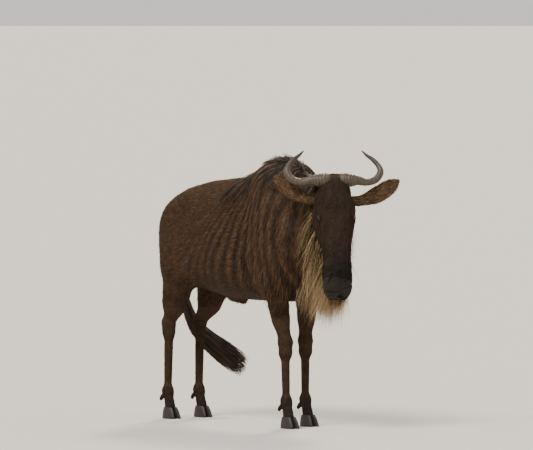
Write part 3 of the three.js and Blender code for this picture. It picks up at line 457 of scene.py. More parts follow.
class Details:
    """The head's small features: lids, nostrils, mouth and lips."""

    # The mouth's corner and front: down the face and out of its front.
    MOUTH_CORNER = (500, -26)
    MOUTH_FRONT = (574, 30)
    MOUTH_DEPTH = 4.5
    LIP_SWELL = 1.5
    # A nostril's middle: down the face and out to a side.
    NOSTRIL = (507, 41)
    NOSTRIL_LEAN = (0.62, 0.78)
    NOSTRIL_DEPTH = 11.0
    MUZZLE_GRAIN = 0.7
    # How thick the lids are, half the length and height of their opening, and the crease over it.
    LID = 4.0
    LID_LENGTH = 19.0
    LID_HEIGHT = 11.0
    LID_CREASE = 1.3
    # A ball that holds the whole head: how far down the face its middle lies, and its radius.
    HEAD_MIDDLE = 300.0
    HEAD_REACH = 420.0

    def __init__(self) -> None:
        """Places the features."""
        self.eyes = [on_head(186, 34, 72, s) for s in (-1, 1)]
        self.eye_axes = [unit(HEAD_LEFT * s * 0.9 + FACE_FRONT * 0.42) for s in (-1, 1)]
        self.rims = [
            Muscle(on_head(490, 46, 30, s), on_head(508, 38, 56, s), 14, 12) for s in (-1, 1)
        ]

    def _near_head(self, p: Array) -> Array:
        """Which points are on the head."""
        return np.linalg.norm(p - on_head(self.HEAD_MIDDLE, 0, 0), axis=1) < self.HEAD_REACH

    def apply(self, p: Array, d: Array) -> Array:
        """The distance d with the lids and the nostrils' rims worked in.

        Args:
            p: points in the body's frame.
            d: distance from the plain skin at each.

        Returns:
            The distance from the finished skin.
        """
        near = self._near_head(p)
        if not near.any():
            return d
        d = d.copy()
        q, e = p[near], d[near]
        for eye in self.eyes:
            e = blend(e, np.linalg.norm(q - eye, axis=1) - (EYE_RADIUS + self.LID), 10)
        for rim in self.rims:
            e = blend(e, rim.distance(q), 18)
        d[near] = e
        return d

    def press(self, p: Array, n: Array) -> Array:
        """Skin points with the eyes' openings, the nostrils and the mouth pressed in.

        Args:
            p: points on the finished skin.
            n: outward directions there.

        Returns:
            The moved points.
        """
        near = self._near_head(p)
        q, up = p[near], n[near]
        down, front, out = head_places(q)
        corner, tip = np.array(self.MOUTH_CORNER), np.array(self.MOUTH_FRONT)
        way = (tip - corner) / np.linalg.norm(tip - corner)
        forward = (down - corner[0]) * way[0] + (front - corner[1]) * way[1]
        off = (down - corner[0]) * way[1] - (front - corner[1]) * way[0] + 3 * np.cos(out / 22)
        depth = self.MOUTH_DEPTH * np.exp(-(off / 3.0) ** 2) * np.clip(forward / 14 + 0.6, 0, 1)
        depth -= self.LIP_SWELL * np.exp(-((np.abs(off) - 9) / 5) ** 2) * ramp(forward, 0, 20)
        a, b = down - self.NOSTRIL[0], np.abs(out) - self.NOSTRIL[1]
        lean, turn = self.NOSTRIL_LEAN
        long = a * lean + b * turn
        wide = a * turn - b * lean - 0.02 * long ** 2
        hole = np.exp(-((long / 15) ** 2 + (wide / 5.5) ** 2) ** 1.6) * (front > 8)
        depth += self.NOSTRIL_DEPTH * hole
        depth += self.MUZZLE_GRAIN * NOISE(q, vec(9, 9, 5)) * ramp(down, 470, 40)
        q = q - up * depth[:, None]
        for eye, axis in zip(self.eyes, self.eye_axes):
            r = q - eye
            dist = np.linalg.norm(r, axis=1)
            along = unit(DOWN_FACE - axis * (DOWN_FACE @ axis))
            length = r @ along
            tilt = r @ np.cross(axis, along) + 0.25 * length * np.sign(axis @ HEAD_LEFT)
            height = self.LID_HEIGHT * np.clip(1.12 - (length / 27) ** 2, 0.3, 1.2)
            almond = np.hypot(length / self.LID_LENGTH, tilt / height) - 1
            outside = r @ axis > 0
            opening = np.clip(0.5 - almond * 5, 0, 1) * outside * (dist < EYE_RADIUS + 14)
            crease = self.LID_CREASE * np.exp(-((almond - 0.62) / 0.12) ** 2)
            crease = crease * outside * (dist < EYE_RADIUS + 18)
            goal = dist - opening * np.maximum(dist - (EYE_RADIUS - 3), 0) - crease
            q = eye + r * (goal / np.maximum(dist, 1e-6))[:, None]
        moved = p.copy()
        moved[near] = q
        return moved


# The ways the hair lies.
ALONG_TRUNK = vec(-1, 0, -0.42)
ALONG_NECK = vec(-0.55, 0, -0.85)
ALONG_LEG = vec(-0.12, 0, -1)
ALONG_FACE = DOWN_FACE * 0.9


def lie_of_coat(p: Array, n: Array) -> Array:
    """The way the hair lies at each skin point: back along the body, down the legs and face.

    Args:
        p: points in the body's frame.
        n: outward directions there.

    Returns:
        Unit directions along the skin.
    """
    down, front, _ = head_places(p)
    on_face = ramp(front, -110, 50) * ramp(down, -60, 50) * (p[:, 2] < 1300) * ramp(p[:, 0], 640, 60)
    leg = ramp(p[:, 2], 690, -130) * (1 - on_face)
    way = np.zeros_like(p) + ALONG_TRUNK
    for share, other in ((ramp(p[:, 0], 330, 150), ALONG_NECK), (leg, ALONG_LEG), (on_face, ALONG_FACE)):
        way = way * (1 - share[:, None]) + other * share[:, None]
    way[:, 2] += 0.18 * NOISE(p, 60)
    way[:, 0] += 0.15 * NOISE(p + 500, 45)
    flat = way - (way * n).sum(1, keepdims=True) * n
    return unit(flat)


class Tone(Enum):
    """Named colours of the animal, linear."""

    BROWN = (0.068, 0.036, 0.0185)
    DARK_BROWN = (0.026, 0.015, 0.009)
    BLACK = (0.010, 0.0075, 0.006)
    # The painted sheen on faces turned up.
    SHEEN_GREY_BROWN = (0.110, 0.068, 0.040)
    STRAW = (0.50, 0.36, 0.19)
    PALE_BROWN = (0.132, 0.077, 0.041)
    SOOT = (0.020, 0.014, 0.010)

    @property
    def rgb(self) -> Array:
        """The colour as an array."""
        return np.array(self.value)


def mixed(a: Array, b: Array, share: Array) -> Array:
    """Colours a and b mixed, one share per point."""
    s = np.clip(share, 0, 1)[:, None]
    return a * (1 - s) + b * s


# How far apart the stripes are, and the height of the point that they fan out from.
STRIPE_PITCH = 62.0
FAN_HEIGHT = 1420.0


def brindle(p: Array, n: Array) -> tuple[Array, Array]:
    """The stripes of neck, shoulder and flank: upright on the neck, fanning back from the withers.

    Args:
        p: points in the body's frame.
        n: outward directions there.

    Returns:
        How much of a dark stripe, and how much of the pale band between, each point has.
    """
    behind = np.minimum(p[:, 0] - WITHERS_X, 0)
    fan = behind * 520 / np.maximum(FAN_HEIGHT - p[:, 2], 90)
    across = np.where(behind < 0, fan, p[:, 0] - WITHERS_X) + 20 * NOISE(p, 150) + 5 * NOISE(p + 40, 30)
    wave = np.sin(across * 2 * math.pi / STRIPE_PITCH + 1.6 * NOISE(p + 900, vec(160, 200, 400)))
    where = ramp(across, -640, 300) * ramp(p[:, 2], 640, 140)
    where *= ramp(n[:, 2], 1.05, -0.5) * (0.65 + 0.35 * NOISE(p + 300, vec(60, 90, 260)))
    fine = np.clip(NOISE(p + 150, vec(9, 14, 120)) * 1.6, 0, 1)
    dark = np.clip((wave - 0.15) * 1.8, 0, 1) * where + 0.35 * fine * where
    pale = np.clip((-wave - 0.1) * 1.5, 0, 1) * where
    return np.clip(dark, 0, 1), pale


def markings(p: Array, n: Array) -> Array:
    """The coat's colour at each skin point, with painted sheen and shade, the same for skin and tufts.

    Args:
        p: points in the body's frame.
        n: outward directions there.

    Returns:
        Linear colours, one row per point.
    """
    x, y, z, up = *p.T, n[:, 2]
    down, front, out = head_places(p)
    dark, pale = brindle(p, n)
    face = ramp(front, -100, 60) * ramp(down, -80, 60) * ramp(x, 650, 50)
    snout = mixed(Tone.DARK_BROWN.rgb * 1.3, Tone.BLACK.rgb * 1.3, ramp(down, 300, 160))
    crown = ramp(np.hypot(down - 60, out * 1.1), 90, -90) * face
    crest = np.exp(-(y / 42) ** 2) * ramp(up, 0.3, 0.4) * ramp(x, 180, 120)
    night = Tone.BLACK.rgb * 1.4
    colour = np.zeros_like(p) + Tone.BROWN.rgb
    for tone, share in (
        # Painted sheen: lighter grey-brown on faces turned to the sky.
        (Tone.SHEEN_GREY_BROWN.rgb, 0.4 * ramp(up, 0.15, 0.6) * (z > 700)),
        # Painted shade: darker low on the barrel, towards the belly.
        (Tone.DARK_BROWN.rgb, 0.6 * ramp(z, 820, -260) * (z > 560)),
        (Tone.PALE_BROWN.rgb, 0.65 * pale),
        (night, 0.85 * dark),
        (Tone.DARK_BROWN.rgb * 1.25, 0.75 * ramp(z, LEG_TOP, -160)),
        (Tone.SOOT.rgb, 0.8 * ramp(z, 170, -70)),
        (snout, 0.95 * face),
        (Tone.DARK_BROWN.rgb, 0.5 * crown),
        (night, 0.9 * crest),
        (night, 0.85 * ramp(x, -628, -20)),
    ):
        colour = mixed(colour, tone, share)
    grain = 1 + 0.22 * NOISE(p + 50, 14) + 0.12 * NOISE(p + 77, 5)
    return np.clip(colour * grain[:, None], 0.002, 1)


# A claw's place and size about the middle of its foot: how far forward it lies, the share of its length
# that is behind its middle, how far aside it lies and its half width.
CLAW_FORWARD = 6.0
HEEL_SHARE = 0.42
CLAW_ASIDE = 19.0
CLAW_HALF_WIDTH = 17.0

# How far the row frame lies from the body's own, in metres, filled in by find_shift.
SHIFT = np.zeros(3)


def to_row(p: Array) -> Array:
    """Points from the body's frame in millimetres to the row frame in metres."""
    return p * MM + SHIFT


def find_shift() -> None:
    """Reads from one packed hoof how far the row frame lies from the body's own."""
    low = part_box("foreleg_right_hoof_outer")[0]
    coronet = LEGS["foreleg_right"].joints["coronet"]
    SHIFT[0] = low.x - (coronet[0] + CLAW_FORWARD - HOOF_LENGTH * HEEL_SHARE) * MM
    SHIFT[1] = low.y - (coronet[1] - CLAW_ASIDE - CLAW_HALF_WIDTH) * MM


@dataclass(frozen=True)
class Finish:
    """A material with one colour, or with the colours its mesh carries.

    Attributes:
        name: the material's name.
        colour: linear base colour.
        roughness: how dull it is.
        carried: whether the mesh's own colours are used.
        bump: strength of the fine relief.
        bump_scale: how many relief waves fit in a metre.
        specular: how strongly it mirrors light.
        coat: strength of a clear layer on top.
        stretch: how close the relief's waves lie along each axis.
    """

    name: str
    colour: tuple[float, float, float] = (0.1, 0.1, 0.1)
    roughness: float = 0.7
    carried: bool = False
    bump: float = 0.0
    bump_scale: float = 400.0
    specular: float = 0.35
    coat: float = 0.0
    stretch: tuple[float, float, float] = (1.0, 1.0, 1.0)

    def make(self) -> bpy.types.Material:
        """The material, built once."""
        if self.name in bpy.data.materials:
            return bpy.data.materials[self.name]
        material = bpy.data.materials.new(self.name)
        material.use_nodes = True
        tree = material.node_tree
        shader = tree.nodes["Principled BSDF"]
        for socket, value in (
            ("Base Color", (*self.colour, 1)), ("Roughness", self.roughness), ("Coat Weight", self.coat),
            ("Specular IOR Level", self.specular), ("Coat Roughness", 0.05),
        ):
            shader.inputs[socket].default_value = value
        if self.carried:
            colours = tree.nodes.new("ShaderNodeAttribute")
            colours.attribute_name = "Tone"
            tree.links.new(colours.outputs["Color"], shader.inputs["Base Color"])
        if self.bump > 0:
            place = tree.nodes.new("ShaderNodeTexCoord")
            mapping = tree.nodes.new("ShaderNodeMapping")
            noise = tree.nodes.new("ShaderNodeTexNoise")
            bump = tree.nodes.new("ShaderNodeBump")
            for node, socket, value in (
                (mapping, "Scale", self.stretch), (noise, "Scale", self.bump_scale), (noise, "Detail", 4),
                (bump, "Strength", self.bump), (bump, "Distance", 0.002),
            ):
                node.inputs[socket].default_value = value
            for giver, output, taker, socket in (
                (place, "Object", mapping, "Vector"), (mapping, "Vector", noise, "Vector"),
                (noise, "Fac", bump, "Height"), (bump, "Normal", shader, "Normal"),
            ):
                tree.links.new(giver.outputs[output], taker.inputs[socket])
        return material


HIDE = Finish("hide", roughness=0.75, carried=True, specular=0.25, bump=0.5, bump_scale=260,
              stretch=(0.35, 1.0, 0.6))
HAIR = Finish("hair", roughness=0.7, carried=True, specular=0.12)
LONG_HAIR = Finish("long_hair", roughness=0.5, carried=True, specular=0.25)
HORN = Finish("horn_keratin", roughness=0.42, carried=True, bump=0.35, bump_scale=300)
HOOF = Finish("hoof_keratin", (0.022, 0.017, 0.014), roughness=0.5, bump=0.3, bump_scale=250)
EYE = Finish("eye_wet", (0.005, 0.003, 0.002), roughness=0.16, coat=0.25)


def new_object(name: str, verts: Array, faces: Array, finish: Finish,
               tones: Array | None = None) -> bpy.types.Object:
    """A smooth-shaded mesh object in the row frame.

    Args:
        name: the object's name.
        verts: points in the body's frame, in millimetres.
        faces: corner numbers, one row per face.
        finish: its material.
        tones: a colour per point, if it carries its own.

    Returns:
        The object, linked to the scene and riding on the body.
    """
    mesh = bpy.data.meshes.new(name)
    points = to_row(verts).astype(np.float32)
    mesh.vertices.add(len(points))
    mesh.vertices.foreach_set("co", points.ravel())
    faces = np.asarray(faces)
    size = faces.shape[1]
    mesh.loops.add(faces.size)
    mesh.loops.foreach_set("vertex_index", faces.astype(np.int32).ravel())
    mesh.polygons.add(len(faces))
    mesh.polygons.foreach_set("loop_start", np.arange(0, faces.size, size, dtype=np.int32))
    mesh.polygons.foreach_set("use_smooth", np.ones(len(faces), bool))
    mesh.update(calc_edges=True)
    mesh.validate()
    if tones is not None:
        paint(mesh, tones)
    mesh.materials.append(finish.make())
    made = bpy.data.objects.new(name, mesh)
    bpy.context.scene.collection.objects.link(made)
    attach(made, "root")
    log.info("%s: %d faces", name, len(faces))
    return made


def paint(mesh: bpy.types.Mesh, tones: Array) -> None:
    """Gives a mesh one colour per point."""
    layer = mesh.color_attributes.new("Tone", "FLOAT_COLOR", "POINT")
    rgba = np.ones((len(tones), 4), np.float32)
    rgba[:, :3] = tones
    layer.data.foreach_set("color", rgba.ravel())


@dataclass
class Skin:
    """The single skin over all of the body's solids.

    Attributes:
        body: the distance field it follows.
        step: spacing of its points, in millimetres.
        margin: width of the field worked out round the surface.
        lo: the low corner of the space it lies in.
        hi: the high corner.
        points: its points, once built.
        triangles: its triangles.
        normals: the outward directions at its points.
    """

    # Steps along a block of the rough field, and how many points are worked out at once.
    BLOCK = 6
    BATCH = 60000
    # Radii of the balls in which the faces are finer, on the head, round each eye and on the muzzle.
    FINE_HEAD = 330.0
    FINE_EYE = 48.0
    FINE_MUZZLE = 100.0
    # Rounds that move the points onto the surface, the share of the way they go and the longest move.
    PROJECT_ROUNDS = 4
    PROJECT_SHARE = 0.9
    PROJECT_LIMIT = 6.0
    # Rounds that even out the muzzle, before and after its features are pressed in.
    RELAX_BEFORE = 10
    RELAX_AFTER = 2
    # How bright the skin is, next to the coat on it: painted shade under the hair.
    SKIN_SHADE_UNDER_COAT = 0.8

    body: Body
    step: float = 6.0
    margin: float = 34.0
    lo: Array = field(default_factory=lambda: vec(-720, -260, -10))
    hi: Array = field(default_factory=lambda: vec(900, 300, 1330))
    points: Array | None = None
    triangles: Array | None = None
    normals: Array | None = None

    def _volume(self) -> Array:
        """The distance field on a dense grid, worked out only near the surface."""
        block = self.BLOCK
        wide = self.step * block
        count = np.ceil((self.hi - self.lo) / wide).astype(int)
        axes = [self.lo[i] + (np.arange(count[i]) + 0.5) * wide for i in range(3)]
        centres = np.stack(np.meshgrid(*axes, indexing="ij"), -1).reshape(-1, 3)
        rough = self.body.coarse(centres)
        dense = np.kron(rough.reshape(count).astype(np.float32), np.ones([block] * 3, np.float32))
        half_diagonal = wide * 0.87
        near = np.abs(rough) < self.margin + half_diagonal
        corner = np.stack(np.unravel_index(np.nonzero(near)[0], count), 1) * block
        inside = np.stack(np.meshgrid(*[np.arange(block)] * 3, indexing="ij"), -1).reshape(-1, 3)
        index = (corner[:, None] + inside[None]).reshape(-1, 3)
        for where in np.array_split(index, max(1, len(index) // self.BATCH)):
            at = self.lo + (where + 0.5) * self.step
            dense[tuple(where.T)] = self.body.coarse(at) + coat_depth(at)
        return dense

    def _refine(self, points: Array, quads: Array) -> tuple[Array, Array]:
        """Splits the faces of the head finer, and those of eyes and muzzle once more.

        Args:
            points: corners of the coarse mesh.
            quads: its faces.

        Returns:
            The finer mesh's points and triangles.
        """
        mesh = bmesh.new()
        verts = [mesh.verts.new(p) for p in points.tolist()]
        for quad in quads.tolist():
            mesh.faces.new([verts[i] for i in quad])
        small = [(eye, self.FINE_EYE) for eye in self.body.details.eyes]
        small.append((on_head(530, 30, 0), self.FINE_MUZZLE))
        for chosen in ([(on_head(260, 0, 0), self.FINE_HEAD)], small):
            edges = []
            for edge in mesh.edges:
                middle = (edge.verts[0].co + edge.verts[1].co) / 2
                if any((middle - Vector(c)).length < r for c, r in chosen):
                    edges.append(edge)
            bmesh.ops.subdivide_edges(mesh, edges=edges, cuts=1, use_grid_fill=True)
        bmesh.ops.triangulate(mesh, faces=mesh.faces)
        mesh.verts.index_update()
        out = np.array([v.co[:] for v in mesh.verts])
        tris = np.array([[v.index for v in f.verts] for f in mesh.faces])
        mesh.free()
        return out, tris

    def build(self) -> None:
        """Makes the skin mesh and projects it onto the finished field."""
        grid = openvdb.FloatGrid(self.margin * 3)
        grid.copyFromArray(self._volume())
        index, quads = grid.convertToQuads(isovalue=0.0)
        points = self.lo + (index + 0.5) * self.step
        points, tris = self._refine(points, quads[:, ::-1])
        for _ in range(self.PROJECT_ROUNDS):
            moved = []
            for part in np.array_split(points, max(1, len(points) // self.BATCH)):
                d, n = self.body.normals(part)
                step = np.clip(d, -self.PROJECT_LIMIT, self.PROJECT_LIMIT) * self.PROJECT_SHARE
                moved.append(part - step[:, None] * n)
            points = np.concatenate(moved)
        a, b, c = (points[tris[:, i]] for i in range(3))
        if (np.cross(a, b) * c).sum() < 0:
            tris = tris[:, ::-1]
        down, front, _ = head_places(points)
        muzzle = ramp(down, 430, 40) * (front > -130) * (np.abs(points[:, 2] - 720) < 200)
        points = self._relax(points, tris, muzzle, self.RELAX_BEFORE)
        points = self.body.details.press(points, self._vertex_normals(points, tris))
        points = self._relax(points, tris, muzzle, self.RELAX_AFTER)
        self.points, self.triangles = points, tris
        self.normals = self._vertex_normals(points, tris)
        made = new_object("skin", points, tris, HIDE, markings(points, self.normals) * self.SKIN_SHADE_UNDER_COAT)
        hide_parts("torso", "neck", "head", "tail", *(
            f"{leg}_{part}" for leg in LEGS for part in
            (("upper", "forearm") if leg.startswith("fore") else ("thigh", "gaskin")) + ("cannon", "pastern")
        ))

    @staticmethod
    def _relax(points: Array, tris: Array, where: Array, rounds: int) -> Array:
        """Points moved towards the mean of their neighbours.

        Args:
            points: the skin's points.
            tris: its triangles.
            where: how strongly each point takes part, 0 to 1.
            rounds: how often they move.

        Returns:
            The moved points.
        """
        pairs = np.concatenate([tris[:, [i, j]] for i in range(3) for j in range(3) if i != j])
        count = np.maximum(np.bincount(pairs[:, 0], minlength=len(points)), 1)[:, None]
        for _ in range(rounds):
            total = [np.bincount(pairs[:, 0], points[pairs[:, 1], k], len(points)) for k in range(3)]
            points = points + (np.stack(total, 1) / count - points) * where[:, None] * 0.5
        return points

    @staticmethod
    def _vertex_normals(points: Array, tris: Array) -> Array:
        """Outward directions at the points."""
        a, b, c = (points[tris[:, i]] for i in range(3))
        face = np.cross(b - a, c - a)
        out = np.zeros_like(points)
        for i in range(3):
            for k in range(3):
                out[:, k] += np.bincount(tris[:, i], face[:, k], len(points))
        return unit(out)

    def scatter(self, weight: Array, count: int, rng: np.random.Generator) -> tuple[Array, Array]:
        """Random places on the skin.

        Args:
            weight: how much each point of the skin wants, 0 for none.
            count: how many places.
            rng: the random source.

        Returns:
            The places and the outward directions there.
        """
        t = self.triangles
        a, b, c = (self.points[t[:, i]] for i in range(3))
        area = np.linalg.norm(np.cross(b - a, c - a), axis=1) * weight[t].mean(1)
        ends = np.cumsum(area)
        spread = (np.arange(count) + rng.random(count)) / count * ends[-1]
        pick = np.minimum(np.searchsorted(ends, spread), len(t) - 1)
        u, v = rng.random(count), rng.random(count)
        flip = u + v > 1
        u, v = np.where(flip, 1 - u, u)[:, None], np.where(flip, 1 - v, v)[:, None]
        place = a[pick] + u * (b[pick] - a[pick]) + v * (c[pick] - a[pick])
        n = self.normals[t[pick]]
        return place, unit(n[:, 0] * (1 - u - v) + n[:, 1] * u + n[:, 2] * v)


def map_cell(turn: Array, along: Array, corner: tuple[float, float], size: tuple[float, float]) -> Array:
    """Places in one field of the flat map.

    Args:
        turn: angles round an axis.
        along: places along it, from 0 to 1.
        corner: the field's low corner on the map.
        size: its width and height.

    Returns:
        One place on the map per point.
    """
    spin = turn / (2 * math.pi) + 0.5
    return np.stack([corner[0] + size[0] * spin, corner[1] + size[1] * along], 1)


def unwrap(p: Array) -> Array:
    """Where skin points lie on a flat map: trunk and neck, head, and each leg in its own field."""
    down, front, out = head_places(p)
    head = is_head(p, front)
    uv = map_cell(np.arctan2(p[:, 1], p[:, 2] - 900), ramp(p[:, 0], -720, 1500), (0.02, 0.02), (0.56, 0.6))
    face = map_cell(np.arctan2(out, front + 10), ramp(down, -60, 720), (0.62, 0.02), (0.36, 0.6))
    uv[head] = face[head]
    leg, fore, left = (p[:, 2] < LEG_TOP) & ~head, p[:, 0] > 0, p[:, 1] > 0
    for i, (name, limb) in enumerate(LEGS.items()):
        mine = leg & (fore == name.startswith("fore")) & (left == (limb.side > 0))
        j = limb.joints
        t = ramp(p[:, 2], CORONET_HEIGHT, 600)
        axis = between(j["coronet"], j.get("elbow", j.get("stifle")), t[:, None])
        turn = np.arctan2(p[:, 1] - axis[:, 1], p[:, 0] - axis[:, 0])
        uv[mine] = map_cell(turn, t, (0.02 + 0.24 * i, 0.66), (0.2, 0.3))[mine]
    return uv


@dataclass
class Tufts:
    """Many thin tapering tufts in one mesh.

    Attributes:
        name: the object's name.
        finish: the hair's material.
        slot: the name of a material slot, not used.
    """

    # A short tuft's faces, and how bright its three root corners and its tip are: painted shade at the root,
    # painted highlight at the tip.
    SPIKE_FACES = [(0, 1, 2), (0, 3, 1), (1, 3, 2), (2, 3, 0)]
    SPIKE_SHADE = (0.75, 0.75, 0.85, 1.3)
    # How bright a long lock is at its root, just before its tip and at its tip: painted shade at the root,
    # painted highlight towards the tip.
    LOCK_SHADE = (0.8, 1.15, 1.25)
    # Width on the baking map of what one tuft covers.
    MAP_SPREAD = 0.0015

    name: str
    finish: Finish
    slot: str = "coat"

    def spikes(self, root: Array, way: Array, up: Array, length: Array, width: Array,
               tone: Array) -> bpy.types.Object:
        """Short straight tufts of four triangles each.

        Args:
            root: where each grows, a little inside the skin.
            way: the way each points.
            up: away from the skin.
            length: how long each is.
            width: how wide each is at its root.
            tone: its colour.

        Returns:
            The object.
        """
        side = unit(np.cross(way, up))
        rise = unit(np.cross(side, way))
        w = width[:, None]
        corners = np.stack([root - side * w * 0.5, root + side * w * 0.5, root + rise * w * 0.45,
                            root + way * length[:, None]], 1)
        return self._finish(root, corners, self.SPIKE_FACES, tone, self.SPIKE_SHADE)

    def strands(self, path: Array, up: Array, width: Array, tone: Array, taper: Array) -> bpy.types.Object:
        """Long bending locks with a three-sided section.

        Args:
            path: points along each lock, shaped (locks, points, 3).
            up: the flat side's direction of each lock.
            width: full width of each lock.
            tone: colour of each lock.
            taper: share of the width kept at each point but the last, which is the tip.

        Returns:
            The object.
        """
        n, m = path.shape[:2]
        tangent = unit(np.gradient(path, axis=1))
        side = unit(np.cross(tangent, up[:, None]))
        rise = np.cross(side, tangent)
        w = width[:, None, None] * taper[None, :, None]
        line, side, rise = path[:, :-1], side[:, :-1], rise[:, :-1]
        rings = np.stack([line - side * w * 0.5, line + side * w * 0.5, line + rise * w * 0.4], 2)
        corners = np.concatenate([rings.reshape(n, -1, 3), path[:, -1:]], 1)
        faces = [(0, 1, 2)]
        for i in range(m - 2):
            for j in range(3):
                a, b = 3 * i + j, 3 * i + (j + 1) % 3
                faces += [(a, a + 3, b), (b, a + 3, b + 3)]
        top = 3 * (m - 2)
        faces += [(top + j, 3 * (m - 1), top + (j + 1) % 3) for j in range(3)]
        # Painted shade at each lock's root and painted highlight at its tip.
        low, high, tip = self.LOCK_SHADE
        fade = [*np.repeat(np.linspace(low, high, m - 1), 3), tip]
        return self._finish(path[:, 0], corners, faces, tone, fade)

    def _finish(self, root: Array, corners: Array, faces: list[tuple[int, ...]], tone: Array,
                shade: Sequence[float]) -> bpy.types.Object:
        """Makes the object, its colours and its baking map.

        Args:
            root: where each tuft grows.
            corners: the corners of each, shaped (tufts, corners, 3).
            faces: the faces of one tuft.
            tone: colour of each tuft.
            shade: how bright each of its corners is.

        Returns:
            The object.
        """
        n, k = corners.shape[:2]
        base = np.arange(n)[:, None] * k
        tones = np.clip(tone[:, None] * np.array(shade)[None, :, None], 0.001, 1)
        all_faces = np.concatenate([base + np.array(f) for f in faces])
        made = new_object(self.name, corners.reshape(-1, 3), all_faces, self.finish, tones.reshape(-1, 3))
        spread = corners - corners[:, :1]
        reach = np.maximum(np.abs(spread).max((1, 2), keepdims=True), 1e-6)
        uv = unwrap(root)[:, None] + spread[..., [0, 2]] / reach * self.MAP_SPREAD
        layer = made.data.uv_layers.new(name="OFBake")
        loops = np.empty(len(made.data.loops), np.int32)
        made.data.loops.foreach_get("vertex_index", loops)
        layer.data.foreach_set("uv", uv.reshape(-1, 2)[loops].astype(np.float32).ravel())
        return made


@dataclass
class ShortCoat:
    """The short flat coat, as fine tufts on every side.

    Attributes:
        skin: the skin that it grows on.
        share: how much of the full coat to grow.
        seed: of the first piece's random source, each later piece has the next.
    """

    skin: Skin
    share: float = 1.0
    seed: int = 20

    def build(self) -> None:
        """Grows the coat in pieces, each over its own part of the body."""
        p = self.skin.points
        down, front, _ = head_places(p)
        head = is_head(p, front)
        neck = (p[:, 0] + 90 * NOISE(p, 70) > 400) & ~head & (p[:, 2] > 560)
        leg = (p[:, 2] < LEG_TOP) & ~head
        trunk = ~head & ~neck & ~leg
        left = p[:, 1] > 0
        muzzle = head & (down > 492) & (front > -30)
        # Each piece's name, where it grows, how many tufts, their length and width, and how much they lift.
        plans = [
            ("coat_trunk_left", trunk & left, 34000, 25, 3.6, 0.16),
            ("coat_trunk_right", trunk & ~left, 34000, 25, 3.6, 0.16),
            ("coat_neck", neck, 20000, 32, 3.8, 0.2),
            ("coat_head", head & ~muzzle, 42000, 9, 1.6, 0.17),
            ("coat_forelegs", leg & (p[:, 0] > 0), 26000, 9, 1.9, 0.1),
            ("coat_hindlegs", leg & (p[:, 0] <= 0), 30000, 10, 2.0, 0.1),
        ]
        for i, (name, where, count, length, width, lift) in enumerate(plans):
            rng = np.random.default_rng(self.seed + i)
            root, up = self.skin.scatter(where.astype(float), int(count * self.share), rng)
            lie = lie_of_coat(root, up)
            size = rng.uniform(0.7, 1.2, len(root))
            way = unit(lie + up * (lift * rng.uniform(0.4, 1.5, len(root)))[:, None]
                       + rng.normal(0, 0.07, root.shape))
            tone = markings(root, up) * rng.uniform(0.75, 1.3, (len(root), 1))
            Tufts(name, HAIR).spikes(root - up * 0.04 * length, way, up, length * size, width * size, tone)


# Where the long hair grows: the crest, the throat, and the jaw as places down the face and out of its front.
CREST_LINE = np.array([
    [160, 0, 1242], [270, 0, 1267], [370, 0, 1274], [450, -2, 1254], [540, -10, 1235], [630, -26, 1224],
    [712, -42, 1206],
], float)
THROAT_LINE = np.array([
    [708, -44, 985], [660, -24, 925], [600, -8, 862], [560, -2, 795], [520, 0, 722], [490, 0, 668],
], float)
JAW_LINE = ((572, -50), (530, -66), (470, -76), (400, -84), (320, -98), (250, -118))
# How far the tail's hair spreads, broad and thin, at the tail's points from the third on.
TAIL_SPREAD = np.array([
    [16, 16], [12, 12], [12, 12], [22, 20], [34, 24], [50, 26], [60, 22], [46, 12],
], float)


